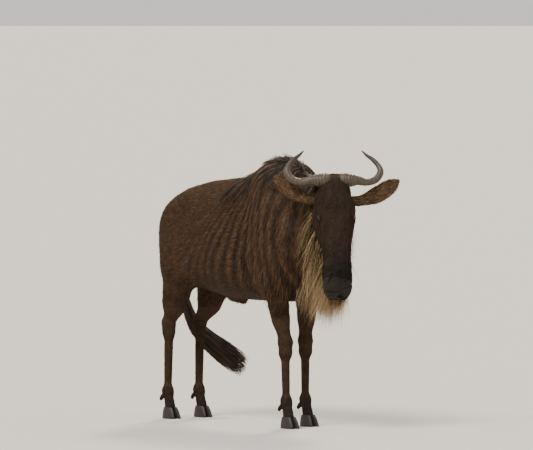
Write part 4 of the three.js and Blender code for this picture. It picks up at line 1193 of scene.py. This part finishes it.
@dataclass
class LongHair:
    """The mane, forelock, beard, throat fringe and tail tuft.

    Attributes:
        body: the body that the hair lies on.
        share: how much of the full hair to grow.
        mane_locks: locks of the full mane.
        fall_locks: locks of the mane's falling hair.
        neck_locks: strands on each side of the neck.
        beard_locks: locks of the beard.
        fringe_locks: locks of the throat fringe.
        forelock_locks: locks of the forelock.
        tail_locks: locks of the tail.
    """

    # Share of a lock's full width along its length.
    TAPER = (0.8, 1.0, 0.9, 0.65, 0.35)

    body: Body
    share: float = 1.0
    mane_locks: int = 5400
    fall_locks: int = 4600
    neck_locks: int = 5200
    beard_locks: int = 4800
    fringe_locks: int = 4200
    forelock_locks: int = 1500
    tail_locks: int = 1900

    def _hang(self, root: Array, start: Array, length: Array, droop: Array, rng: np.random.Generator,
              steps: int = 5) -> Array:
        """Locks that leave along start and bend down under their weight.

        Args:
            root: where each grows.
            start: the way each leaves the skin.
            length: how long each is.
            droop: how strongly each bends down.
            rng: the random source.
            steps: how many straight stretches each has.

        Returns:
            Points along each lock.
        """
        points = [root]
        way = start.copy()
        step = length[:, None] / steps
        sway = rng.normal(0, 0.10, root.shape)
        for _ in range(steps):
            way = unit(way + sway * 0.6 - vec(0, 0, 1) * droop[:, None] / steps)
            points.append(points[-1] + way * step)
        return np.stack(points, 1)

    def _settle(self, root: Array) -> tuple[Array, Array]:
        """Roots moved onto the skin, and the outward directions there."""
        for _ in range(4):
            d, n = self.body.normals(root)
            root = root - d[:, None] * n
        return root - n * 3, n

    def _piece(self, name: str, path: Array, up: Array, width: Array, tone: Array,
               slot: str = "dark_hair") -> bpy.types.Object:
        """One piece of long hair from its locks.

        Args:
            name: the object's name.
            path: points along each lock.
            up: the flat side's direction, one for all or one per lock.
            width: full width of each lock.
            tone: colour of each lock.
            slot: the name of a material slot, handed on to the tufts.

        Returns:
            The object.
        """
        taper = through(np.array(self.TAPER), np.linspace(0, len(self.TAPER) - 1, path.shape[1] - 1))
        up = np.zeros_like(path[:, 0]) + up
        return Tufts(name, LONG_HAIR, slot).strands(path, up, width, tone, taper)

    def _comb(self, root: Array, start: Array, length: Array, droop: Array, clear: Array,
              rng: np.random.Generator, steps: int = 5) -> Array:
        """Locks that hang as in _hang, but lie on the body where they would sink in or fly off.

        Args:
            root: where each grows.
            start: the way each leaves the skin.
            length: how long each is.
            droop: how strongly each bends down.
            clear: how far over the skin each lies.
            rng: the random source.
            steps: how many straight stretches each has.

        Returns:
            Points along each lock.
        """
        path = self._hang(root, start, length, droop, rng, steps)
        for i in range(1, steps + 1):
            for _ in range(2):
                d, n = self.body.normals(path[:, i])
                lift = np.clip(clear * min(1, i / 2) - d, 0, 60) - 0.7 * np.clip(d - clear * 2.2, 0, 60)
                path[:, i:] += (lift[:, None] * n)[:, None]
        return path

    @staticmethod
    def _tones(rare: Array, common: Array, chance: float, low: float, high: float, n: int,
               rng: np.random.Generator) -> Array:
        """Colours of n locks, some of them of the rare kind.

        Args:
            rare: the rarer colour.
            common: the usual one.
            chance: how often the rarer comes.
            low: least brightness.
            high: greatest brightness.
            n: how many locks.
            rng: the random source.

        Returns:
            One colour per lock.
        """
        chosen = (rng.random(n) < chance)[:, None]
        return np.where(chosen, rare, common) * rng.uniform(low, high, (n, 1))

    @staticmethod
    def _crest(t: Array) -> Array:
        """Points along the crest, from behind the withers at 0 to the poll at 1."""
        return through(CREST_LINE, t * (len(CREST_LINE) - 1))

    def mane(self) -> None:
        """The crest's backswept hair, from behind the withers to the poll."""
        rng = np.random.default_rng(41)
        n = int(self.mane_locks * self.share)
        t = rng.random(n)
        root = self._crest(t)
        root[:, 1] += rng.normal(0, 15, n)
        side = np.clip((root[:, 1] - self._crest(t)[:, 1]) / 15 + rng.normal(0, 0.3, n), -1.6, 1.6)
        root, up = self._settle(root)
        lean = unit(np.stack([-0.75 + rng.normal(0, 0.1, n), side * 0.38, 0.95 + 0 * t], 1))
        length = rng.uniform(62, 96, n) * (0.72 + 0.42 * np.sin(np.pi * np.clip(t * 1.15, 0, 1)))
        path = self._hang(root, lean, length, rng.uniform(1.2, 2.0, n) + 0.5 * np.abs(side), rng, 4)
        tone = self._tones(Tone.PALE_BROWN.rgb, Tone.BLACK.rgb * 1.5, 0.12, 0.7, 1.6, n, rng)
        self._piece("mane", path, up, rng.uniform(3, 5.5, n), tone)

    def mane_fall(self) -> None:
        """The mane's longer hair, which falls over both sides of the neck and back over the shoulder."""
        rng = np.random.default_rng(46)
        n = int(self.fall_locks * self.share)
        t = rng.random(n) ** 1.1
        side = rng.choice([-1.0, 1.0], n)
        root = self._crest(t)
        root[:, 1] += side * rng.uniform(4, 34, n)
        root, up = self._settle(root)
        start = unit(np.stack([-0.9 + 0.75 * t + rng.normal(0, 0.12, n), side * 0.8, 0.1 + 0 * t], 1))
        length = rng.uniform(110, 230, n) * (1.0 - 0.25 * t)
        length += rng.uniform(0, 190, n) * np.clip(1 - 2.2 * t, 0, 1)
        droop = 1.2 + 1.7 * t + rng.uniform(0, 0.7, n)
        path = self._comb(root, start, length, droop, rng.uniform(2, 9, n), rng)
        tone = self._tones(Tone.PALE_BROWN.rgb * 1.1, Tone.BLACK.rgb * 1.6, 0.22, 0.6, 1.6, n, rng)
        self._piece("mane_fall", path, up, rng.uniform(2.5, 5, n), tone)

    def neck_strands(self, skin: Skin) -> None:
        """Long coat on the sides of the neck, in upright strands of the stripes' colours."""
        p = skin.points
        head = is_head(p, head_places(p)[1], -95)
        weight = ramp(p[:, 0], 150, 280) * ramp(p[:, 2], 660, 120) * ~head
        for side, word in ((1, "left"), (-1, "right")):
            rng = np.random.default_rng(47 + side)
            n = int(self.neck_locks * self.share)
            root, up = skin.scatter(weight * (p[:, 1] * side > 0), n, rng)
            start = unit(up * 0.3 + vec(-0.28, 0, -1) + rng.normal(0, 0.08, (n, 3)))
            length, clear = rng.uniform(50, 105, n), rng.uniform(1.5, 7, n)
            path = self._comb(root - up * 2, start, length, np.full(n, 0.8), clear, rng, 3)
            tone = markings(root, up) * rng.uniform(0.75, 1.6, (n, 1))
            self._piece(f"neck_strands_{word}", path, up, rng.uniform(2.5, 4.8, n), tone, "coat")

    def _sweep(self, n: int, rng: np.random.Generator) -> Array:
        """The way the hanging hair drifts: back and to the animal's right."""
        aside = HEAD_LEFT * rng.uniform(-0.5, -0.1, (n, 1))
        return aside + HEAD_FORWARD * rng.uniform(-0.4, -0.1, (n, 1))

    def beard(self) -> None:
        """The pale beard under the chin and jaw."""
        rng = np.random.default_rng(42)
        n = int(self.beard_locks * self.share)
        t = rng.random(n)
        line = np.array([on_head(down, front, 0) for down, front in JAW_LINE])
        root = through(line, t * 5) + HEAD_LEFT * rng.normal(0, 24, (n, 1)) - FACE_FRONT * 6
        cheek = rng.random(n) < 0.3
        jaw = HEAD_TOP + DOWN_FACE * rng.uniform(110, 380, (n, 1)) - FACE_FRONT * rng.uniform(80, 110, (n, 1))
        jaw += HEAD_LEFT * (rng.choice([-1, 1], (n, 1)) * rng.uniform(34, 66, (n, 1)))
        root = np.where(cheek[:, None], jaw, root)
        root, up = self._settle(root)
        length = through(np.array([45, 120, 235, 330, 310, 230.0]), t * 5) * rng.uniform(0.5, 1.08, n)
        length = np.where(cheek, rng.uniform(90, 190, n), length)
        start = unit(up * 0.5 - vec(0, 0, 1) + self._sweep(n, rng) + rng.normal(0, 0.06, (n, 3)))
        path = self._hang(root, start, length, np.full(n, 1.1), rng)
        tone = Tone.STRAW.rgb * rng.uniform(0.55, 1.35, (n, 1))
        dark = (rng.random(n) < np.where(cheek, 0.45, 0.12 + 0.4 * np.clip(1 - t * 4, 0, 1)))[:, None]
        tone = np.where(dark, Tone.DARK_BROWN.rgb * 1.4, tone)
        self._piece("beard", path, HEAD_LEFT, rng.uniform(1.7, 3.6, n), tone)

    def fringe(self) -> None:
        """The pale fringe that hangs from the throat to the breast."""
        rng = np.random.default_rng(43)
        n = int(self.fringe_locks * self.share)
        t = rng.random(n)
        root = through(THROAT_LINE, t * 5)
        root[:, 1] += rng.normal(0, 30, n)
        root, up = self._settle(root)
        length = through(np.array([210, 240, 235, 200, 140, 80.0]), t * 5) * rng.uniform(0.55, 1.1, n)
        start = unit(up * 0.6 - vec(0, 0, 1) + 0.6 * self._sweep(n, rng) + rng.normal(0, 0.07, (n, 3)))
        path = self._hang(root, start, length, np.full(n, 1.3), rng)
        tone = Tone.STRAW.rgb * rng.uniform(0.45, 1.25, (n, 1))
        dark = (rng.random(n) < 0.25 + 0.5 * t)[:, None]
        tone = np.where(dark, Tone.BROWN.rgb * 1.1, tone)
        self._piece("throat_fringe", path, vec(0, 1, 0), rng.uniform(1.7, 3.6, n), tone)

    def forelock(self) -> None:
        """Dark hair between the horns, down on to the brow."""
        rng = np.random.default_rng(44)
        n = int(self.forelock_locks * self.share)
        down = rng.uniform(-40, 135, n)
        out = rng.normal(0, 30, n)
        root = HEAD_TOP + DOWN_FACE * down[:, None] + FACE_FRONT * 90 + HEAD_LEFT * out[:, None]
        root, up = self._settle(root)
        start = unit(up * 0.2 + DOWN_FACE + HEAD_LEFT * (out / 90)[:, None] + rng.normal(0, 0.12, (n, 3)))
        path = self._hang(root, start, rng.uniform(22, 46, n), np.full(n, 0.5), rng, 3)
        tone = Tone.DARK_BROWN.rgb * rng.uniform(0.5, 1.3, (n, 1))
        self._piece("forelock", path, up, rng.uniform(1.8, 3.4, n), tone)

    def tail(self) -> None:
        """The black tuft that swings out to the animal's left."""
        rng = np.random.default_rng(45)
        n = int(self.tail_locks * self.share)
        t0 = rng.uniform(2.6, 6.4, n)
        reach = rng.uniform(2.0, 4.2, n)
        steps = np.linspace(0, 1, 6)
        t = np.minimum(t0[:, None] + reach[:, None] * steps, 8.3 + 0.5 * rng.random((n, 1)))
        middle = through(TAIL_PATH, t.ravel()).reshape(n, -1, 3)
        ahead = through(TAIL_PATH, np.minimum(t.ravel() + 0.05, 9)).reshape(n, -1, 3)
        tangent = unit(ahead - middle + 1e-6)
        thin = unit(vec(1, 0, 0) - tangent * tangent[..., :1])
        broad = np.cross(tangent, thin)
        spread = through(TAIL_SPREAD, np.clip(t.ravel() - 2, 0, 7)).reshape(n, -1, 2)
        turn, far = rng.uniform(0, 2 * np.pi, n), np.sqrt(rng.random(n))
        path = middle + broad * (np.cos(turn) * far)[:, None, None] * spread[..., :1]
        path += thin * (np.sin(turn) * far)[:, None, None] * spread[..., 1:]
        curl = np.sin(steps * 5 + rng.uniform(0, 6, (n, 1))) * 9 * steps ** 2
        path += broad * curl[..., None] + rng.normal(0, 1.5, path.shape)
        tone = self._tones(Tone.BROWN.rgb, Tone.BLACK.rgb * 1.3, 0.35, 0.7, 1.7, n, rng)
        made = self._piece("tail_hair", path, vec(1, 0, 0), rng.uniform(2.5, 5.5, n), tone)
        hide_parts("tail_tuft")

    def build(self, skin: Skin) -> None:
        """Grows every piece."""
        self.mane()
        self.mane_fall()
        self.neck_strands(skin)
        self.beard()
        self.fringe()
        self.forelock()
        self.tail()


def grid_faces(rings: int, spokes: int) -> Array:
    """The four-cornered faces of a tube whose points are numbered ring by ring."""
    i, j = np.meshgrid(np.arange(rings - 1), np.arange(spokes), indexing="ij")
    a, b = i * spokes + j, i * spokes + (j + 1) % spokes
    return np.stack([a, b, b + spokes, a + spokes], -1).reshape(-1, 4)


def head_line(row: Array, side: int) -> tuple[Array, Array]:
    """A line on the head, for a horn or an ear.

    Args:
        row: its places down the face, out of its front and out to the side in the first columns.
        side: +1 for the head's left.

    Returns:
        Its points, and the way it goes at each.
    """
    centre = on_head(row[:, :1], row[:, 1:2], row[:, 2:3], side)
    return centre, unit(np.gradient(centre, axis=0))


@dataclass
class Horns:
    """The two horns, with a rough boss and rings on the shaft.

    Attributes:
        table: places down the face, out of its front and out to the side, and the radius.
        rings: sections along each horn.
        spokes: points round each section.
        colour: the keratin's colour.
        boss: where on the table the rough boss ends, and over how long a stretch.
        ridged: the same for the ridges.
        dark: where the dark tip starts, and over how long a stretch.
        ridge_rate: how closely the ridges follow each other.
        ridge_height: how high they stand.
        boss_height: how rough the boss is.
    """

    table: Array = field(default_factory=lambda: np.array([
        [-8, 22, 16, 26], [-6, 24, 42, 35], [-4, 24, 76, 33], [-4, 22, 112, 25], [4, 18, 156, 19],
        [-9, 14, 200, 18.5], [-45, 10, 226, 17.5], [-80, 6, 221, 14], [-116, 2, 194, 11], [-139, 0, 165, 7.5],
        [-165, -2, 140, 2.5],
    ], float))
    rings: int = 130
    spokes: int = 28
    colour: tuple[float, float, float] = (0.070, 0.052, 0.037)
    boss: tuple[float, float] = (3.4, -1.6)
    ridged: tuple[float, float] = (7.5, -2)
    dark: tuple[float, float] = (6.5, 3)
    ridge_rate: float = 15.0
    ridge_height: float = 0.9
    boss_height: float = 2.2

    def build(self) -> None:
        """Makes each horn as a fine tube."""
        for side, word in ((1, "left"), (-1, "right")):
            t = np.linspace(0, len(self.table) - 1, self.rings)
            row = through(self.table, t)
            centre, tangent = head_line(row, side)
            across = unit(np.cross(FACE_FRONT, tangent))
            up = np.cross(tangent, across)
            turn = np.linspace(0, 2 * np.pi, self.spokes, endpoint=False)
            radial = across[:, None] * np.cos(turn)[None, :, None] + up[:, None] * np.sin(turn)[None, :, None]
            radius = row[:, 3][:, None] + 0 * turn[None]
            place = centre[:, None] + radial * radius[..., None]
            flat = place.reshape(-1, 3)
            boss = ramp(t, *self.boss)[:, None]
            ridges = np.sin(t[:, None] * self.ridge_rate + 0.7 * np.sin(2 * turn[None]))
            fade = ramp(t, *self.ridged)[:, None]
            rough = boss * self.boss_height * NOISE(flat, 11).reshape(radius.shape)
            relief = rough + self.ridge_height * ridges * fade * (0.4 + boss) - (fade > 0)
            end = np.minimum(1, np.linspace(0, 1, self.rings)[:, None] * 18)
            place = centre[:, None] + radial * ((radius + relief) * (0.4 + 0.6 * end))[..., None]
            place[-1] = centre[-1]
            verts, faces = place.reshape(-1, 3), grid_faces(self.rings, self.spokes)
            tip = ramp(t, *self.dark)[:, None]
            tone = np.array(self.colour) * (1 - 0.6 * tip[..., None])
            tone = tone * (1 + 0.25 * NOISE(verts, 9).reshape(radius.shape))[..., None]
            # Painted shade: darker in the troughs between the ridges.
            tone = tone * (1 - 0.25 * np.clip(-ridges * fade, 0, 1))[..., None]
            made = new_object(f"horn_{word}_fine", verts, faces, HORN, tone.reshape(-1, 3))
            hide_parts(f"horn_{word}")


@dataclass
class Ears:
    """The two ears, cupped and hairy inside.

    Attributes:
        left: for the left ear, places down the face, out of its front and out to the side, half width,
            depth of the cup and thickness.
        right: the same for the right ear, which is laid back further.
        rings: sections along each ear.
        spokes: points across each face of a section.
        tufts: tufts of the full coat of one ear.
    """

    left: Array = field(default_factory=lambda: np.array([
        [84, -34, 62, 20, 19, 30], [84, -30, 98, 22, 20, 32], [84, -22, 134, 25, 20, 24],
        [66, -10, 196, 38, 20, 7], [36, 2, 252, 37, 15, 6], [10, 8, 290, 24, 8, 5], [-8, 12, 318, 5, 2, 4],
    ], float))
    right: Array = field(default_factory=lambda: np.array([
        [78, -36, 62, 20, 19, 30], [76, -38, 98, 22, 20, 32], [68, -42, 134, 25, 20, 24],
        [34, -46, 190, 39, 20, 7], [-2, -48, 236, 37, 15, 6], [-30, -48, 262, 24, 8, 5],
        [-50, -48, 280, 5, 2, 4],
    ], float))
    rings: int = 60
    spokes: int = 16
    tufts: int = 4200

    def build(self, share: float) -> None:
        """Makes each ear's shell and its hair."""
        facing = unit(FACE_FRONT + DOWN_FACE * 0.25)
        for side, word, table in ((1, "left", self.left), (-1, "right", self.right)):
            t = np.linspace(0, len(table) - 1, self.rings)
            row = through(table, t)
            centre, tangent = head_line(row, side)
            wide_way = unit(np.cross(facing, tangent))
            back_way = unit(np.cross(wide_way, tangent))
            back_way *= -np.sign((back_way * facing).sum(1, keepdims=True))
            w, cup, thick = row[:, 3:4], row[:, 4:5], row[:, 5:6]
            place = np.concatenate([
                centre[:, None] + wide_way[:, None] * (wide * np.sin(angles))[..., None]
                + back_way[:, None] * (deep * np.cos(angles))[..., None]
                for angles, wide, deep in (
                    (np.linspace(-np.pi / 2, np.pi / 2, self.spokes), w - 1.5, cup - 1.0),
                    (np.linspace(1.45, -1.45, self.spokes), w - 3, cup - thick + 0.8),
                )
            ], 1)
            k = place.shape[1]
            inside = (np.arange(k) >= self.spokes)[None, :, None]
            tone = np.where(inside, Tone.BROWN.rgb * 1.1, Tone.BROWN.rgb) * np.ones((self.rings, k, 1))
            made = new_object(f"ear_{word}_fine", place.reshape(-1, 3), grid_faces(self.rings, k), HIDE,
                              tone.reshape(-1, 3))
            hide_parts(f"ear_{word}")
            self._hair(side, word, place, tangent, back_way, wide_way, share)

    def _hair(self, side: int, word: str, place: Array, tangent: Array, back: Array, wide: Array,
              share: float) -> None:
        """Short tufts on the back and rim, and long pale ones inside.

        Args:
            side: +1 for the left ear.
            word: the side's name.
            place: points of the shell, shaped (rings, points, 3).
            tangent: the way the ear goes at each ring.
            back: away from its opening.
            wide: across it.
            share: how much of the full hair to grow.
        """
        rng = np.random.default_rng(60 + side)
        k = self.spokes
        n = int(self.tufts * share)
        i = rng.integers(4, self.rings - 2, n)
        j = rng.integers(0, 2 * k, n)
        root = place[i, j]
        up = np.where((j < k)[:, None], back[i], -back[i]) + wide[i] * rng.normal(0, 0.3, (n, 1))
        edge = (j < 2) | ((j > k - 3) & (j < k + 2)) | (j > 2 * k - 3)
        out = np.where(j < k // 2, -1, np.where(j < k + k // 2, 1, -1))[:, None]
        lift = np.where(edge, 0.5, 0.25)[:, None]
        aside = wide[i] * out * np.where(edge, 0.5, 0.0)[:, None]
        way = unit(tangent[i] + unit(up) * lift + aside + rng.normal(0, 0.1, (n, 3)))
        length = np.where(edge, 15, np.where(j < k, 12, 22)) * rng.uniform(0.6, 1.2, n)
        length *= np.clip((self.rings - i) / 14, 0.35, 1)
        inner = ((j >= k + 2) & (j < 2 * k - 2))[:, None]
        pale = inner & (rng.random((n, 1)) < 0.3)
        tone = np.where(pale, Tone.STRAW.rgb * 0.5, Tone.BROWN.rgb * 1.1) * rng.uniform(0.6, 1.3, (n, 1))
        width = 2.2 * rng.uniform(0.7, 1.2, n)
        Tufts(f"ear_{word}_hair", HAIR).spikes(root - unit(up) * 0.8, way, unit(up), length, width, tone)


@dataclass
class Hooves:
    """The eight claws, finely rounded, with flat soles on the ground.

    Attributes:
        rings: height, and shares of the full length and width, of each section.
        spokes: points round each section.
    """

    rings: tuple[tuple[float, float, float], ...] = (
        (0, 0.985, 0.97), (2.5, 1.0, 1.0), (10, 0.99, 1.0), (22, 0.93, 0.96), (34, 0.86, 0.92),
        (46, 0.76, 0.85), (54, 0.69, 0.80), (57.5, 0.64, 0.75),
    )
    spokes: int = 32

    def _points(self, coronet: Array, away: int) -> Array:
        """Points of one claw, ring by ring, and the middles of its sole and its top."""
        turn = np.linspace(0, 2 * np.pi, self.spokes, endpoint=False)
        heel = np.cos(turn) < 0
        rows = []
        for height, long, wide in self.rings:
            reach = HOOF_LENGTH * long * np.where(heel, HEEL_SHARE, 1 - HEEL_SHARE)
            across = np.sin(turn) * CLAW_HALF_WIDTH * wide * np.where(heel, 1, 1 - 0.25 * np.cos(turn) ** 2)
            rows.append(np.stack([
                coronet[0] + CLAW_FORWARD - height / CORONET_HEIGHT * 8 + np.cos(turn) * reach,
                coronet[1] + away * CLAW_ASIDE * wide + across, np.full(self.spokes, float(height)),
            ], 1))
        return np.concatenate([*rows, rows[0].mean(0, keepdims=True), rows[-1].mean(0, keepdims=True)])

    def _faces(self) -> Array:
        """The triangles of one claw."""
        k, m = self.spokes, len(self.rings)
        faces = []
        for j in range(k):
            q = (j + 1) % k
            faces += [(m * k, q, j), (m * k + 1, (m - 1) * k + j, (m - 1) * k + q)]
            for low in range(0, (m - 1) * k, k):
                faces += [(low + j, low + q, low + k + q), (low + j, low + k + q, low + k + j)]
        return np.array(faces)

    def build(self) -> None:
        """Makes each claw."""
        for name, leg in LEGS.items():
            for word, away in (("outer", leg.side), ("inner", -leg.side)):
                verts = self._points(leg.joints["coronet"], away)
                made = new_object(f"{name}_claw_{word}", verts, self._faces(), HOOF)
                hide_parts(f"{name}_hoof_{word}")


@dataclass
class Eyes:
    """The two dark eyes.

    Attributes:
        segments: faces round each eyeball.
        rows: faces from pole to pole.
    """

    segments: int = 48
    rows: int = 28

    def build(self, details: Details) -> None:
        """Makes each eyeball, a little smaller than its socket."""
        for word, eye in zip(("right", "left"), details.eyes):
            mesh = bmesh.new()
            radius = EYE_RADIUS - EYE_PLAY
            bmesh.ops.create_uvsphere(mesh, u_segments=self.segments, v_segments=self.rows, radius=radius)
            mesh.verts.index_update()
            verts = np.array([v.co[:] for v in mesh.verts]) + eye
            bmesh.ops.triangulate(mesh, faces=mesh.faces)
            faces = np.array([[v.index for v in f.verts] for f in mesh.faces])
            mesh.free()
            made = new_object(f"eye_{word}_ball", verts, faces, EYE)
            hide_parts(f"eye_{word}")


# Radius of the floor in metres, far enough for its edge to look like the horizon.
FLOOR_RADIUS = 3000.0


@dataclass(frozen=True)
class Camera:
    """The photo's camera, worked out from the horizon and the animal's height.

    Attributes:
        azimuth: how far it looks round from +Y, in degrees.
        distance: from the aim point, in metres.
        height: of the lens above the ground, in metres.
        scale: image pixels per metre at the aim point, for a picture 533 wide.
        aside: how far the withers lie right of the image centre, in metres.
        horizon: the picture's row where the horizon lies, in pixels from its top.
        image_width: width of the picture, in pixels.
        image_middle: its middle row.
        sensor: width of the sensor, in millimetres.
    """

    azimuth: float = 53.0
    distance: float = 30.0
    height: float = 1.981
    scale: float = 204.5
    aside: float = 24.5 / 206.0
    horizon: float = 22.0
    image_width: float = 533.0
    image_middle: float = 225.0
    sensor: float = 36.0

    def build(self) -> None:
        """Places the camera and makes it the scene's."""
        a = math.radians(self.azimuth)
        right = vec(math.cos(a), math.sin(a), 0)
        ahead = vec(-math.sin(a), math.cos(a), 0)
        pitch = math.atan((self.image_middle - self.horizon) / (self.scale * self.distance))
        foot = vec(WITHERS_X * MM, 0, 0) - self.aside * right
        eye = foot - ahead * self.distance + vec(0, 0, self.height) + SHIFT
        forward = ahead * math.cos(pitch) - vec(0, 0, 1) * math.sin(pitch)
        up = np.cross(right, forward)
        data = bpy.data.cameras.new("camera")
        data.sensor_width = self.sensor
        data.sensor_fit = "HORIZONTAL"
        data.lens = self.sensor * self.scale * self.distance / self.image_width
        data.clip_end = 2 * FLOOR_RADIUS
        data.dof.use_dof = False
        camera = bpy.data.objects.new("camera", data)
        turn = Matrix((right, up, -forward)).transposed().to_4x4()
        camera.matrix_world = Matrix.Translation(Vector(eye)) @ turn
        bpy.context.scene.collection.objects.link(camera)
        bpy.context.scene.camera = camera


@dataclass
class Studio:
    """A pale floor, soft daylight and two suns.

    Attributes:
        floor_corners: corners of the round floor.
        sky: colour of the daylight.
        daylight: its strength.
    """

    floor_corners: int = 96
    sky: tuple[float, float, float] = (1.0, 0.975, 0.94)
    daylight: float = 0.85
    # Each sun's name, strength, softness in degrees, colour and how it is turned, in degrees.
    SUNS = (
        ("key", 3.2, 22, (1.0, 0.95, 0.88), (42, 0, 20)),
        ("rim", 2.6, 12, (1.0, 0.86, 0.66), (-52, 0, 40)),
    )

    def build(self) -> None:
        """Makes the floor, the world and the lights."""
        mesh = bpy.data.meshes.new("floor")
        turns = np.linspace(0, 2 * math.pi, self.floor_corners, endpoint=False)
        rim = [(FLOOR_RADIUS * math.cos(t), FLOOR_RADIUS * math.sin(t), 0) for t in turns]
        mesh.from_pydata(rim, [], [list(range(self.floor_corners))])
        mesh.materials.append(Finish("floor_pale", (0.62, 0.60, 0.57), roughness=0.9).make())
        floor = bpy.data.objects.new("floor", mesh)
        bpy.context.scene.collection.objects.link(floor)
        world = bpy.data.worlds.new("daylight")
        world.use_nodes = True
        background = world.node_tree.nodes["Background"]
        background.inputs["Color"].default_value = (*self.sky, 1)
        background.inputs["Strength"].default_value = self.daylight
        bpy.context.scene.world = world
        for name, strength, angle, colour, turn in self.SUNS:
            data = bpy.data.lights.new(name, "SUN")
            data.energy = strength
            data.angle = math.radians(angle)
            data.color = colour
            sun = bpy.data.objects.new(name, data)
            sun.rotation_euler = [math.radians(t) for t in turn]
            bpy.context.scene.collection.objects.link(sun)


def main() -> None:
    """Builds the animal and its studio in order."""
    share, step = ((1.0, 6.0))
    find_shift()
    body = Body()
    skin = Skin(body, step)
    skin.build()
    ShortCoat(skin, share).build()
    LongHair(body, share).build(skin)
    Horns().build()
    Ears().build(share)
    Hooves().build()
    Eyes().build(body.details)
    Camera().build()
    Studio().build()


if __name__ == "__main__":
    main()
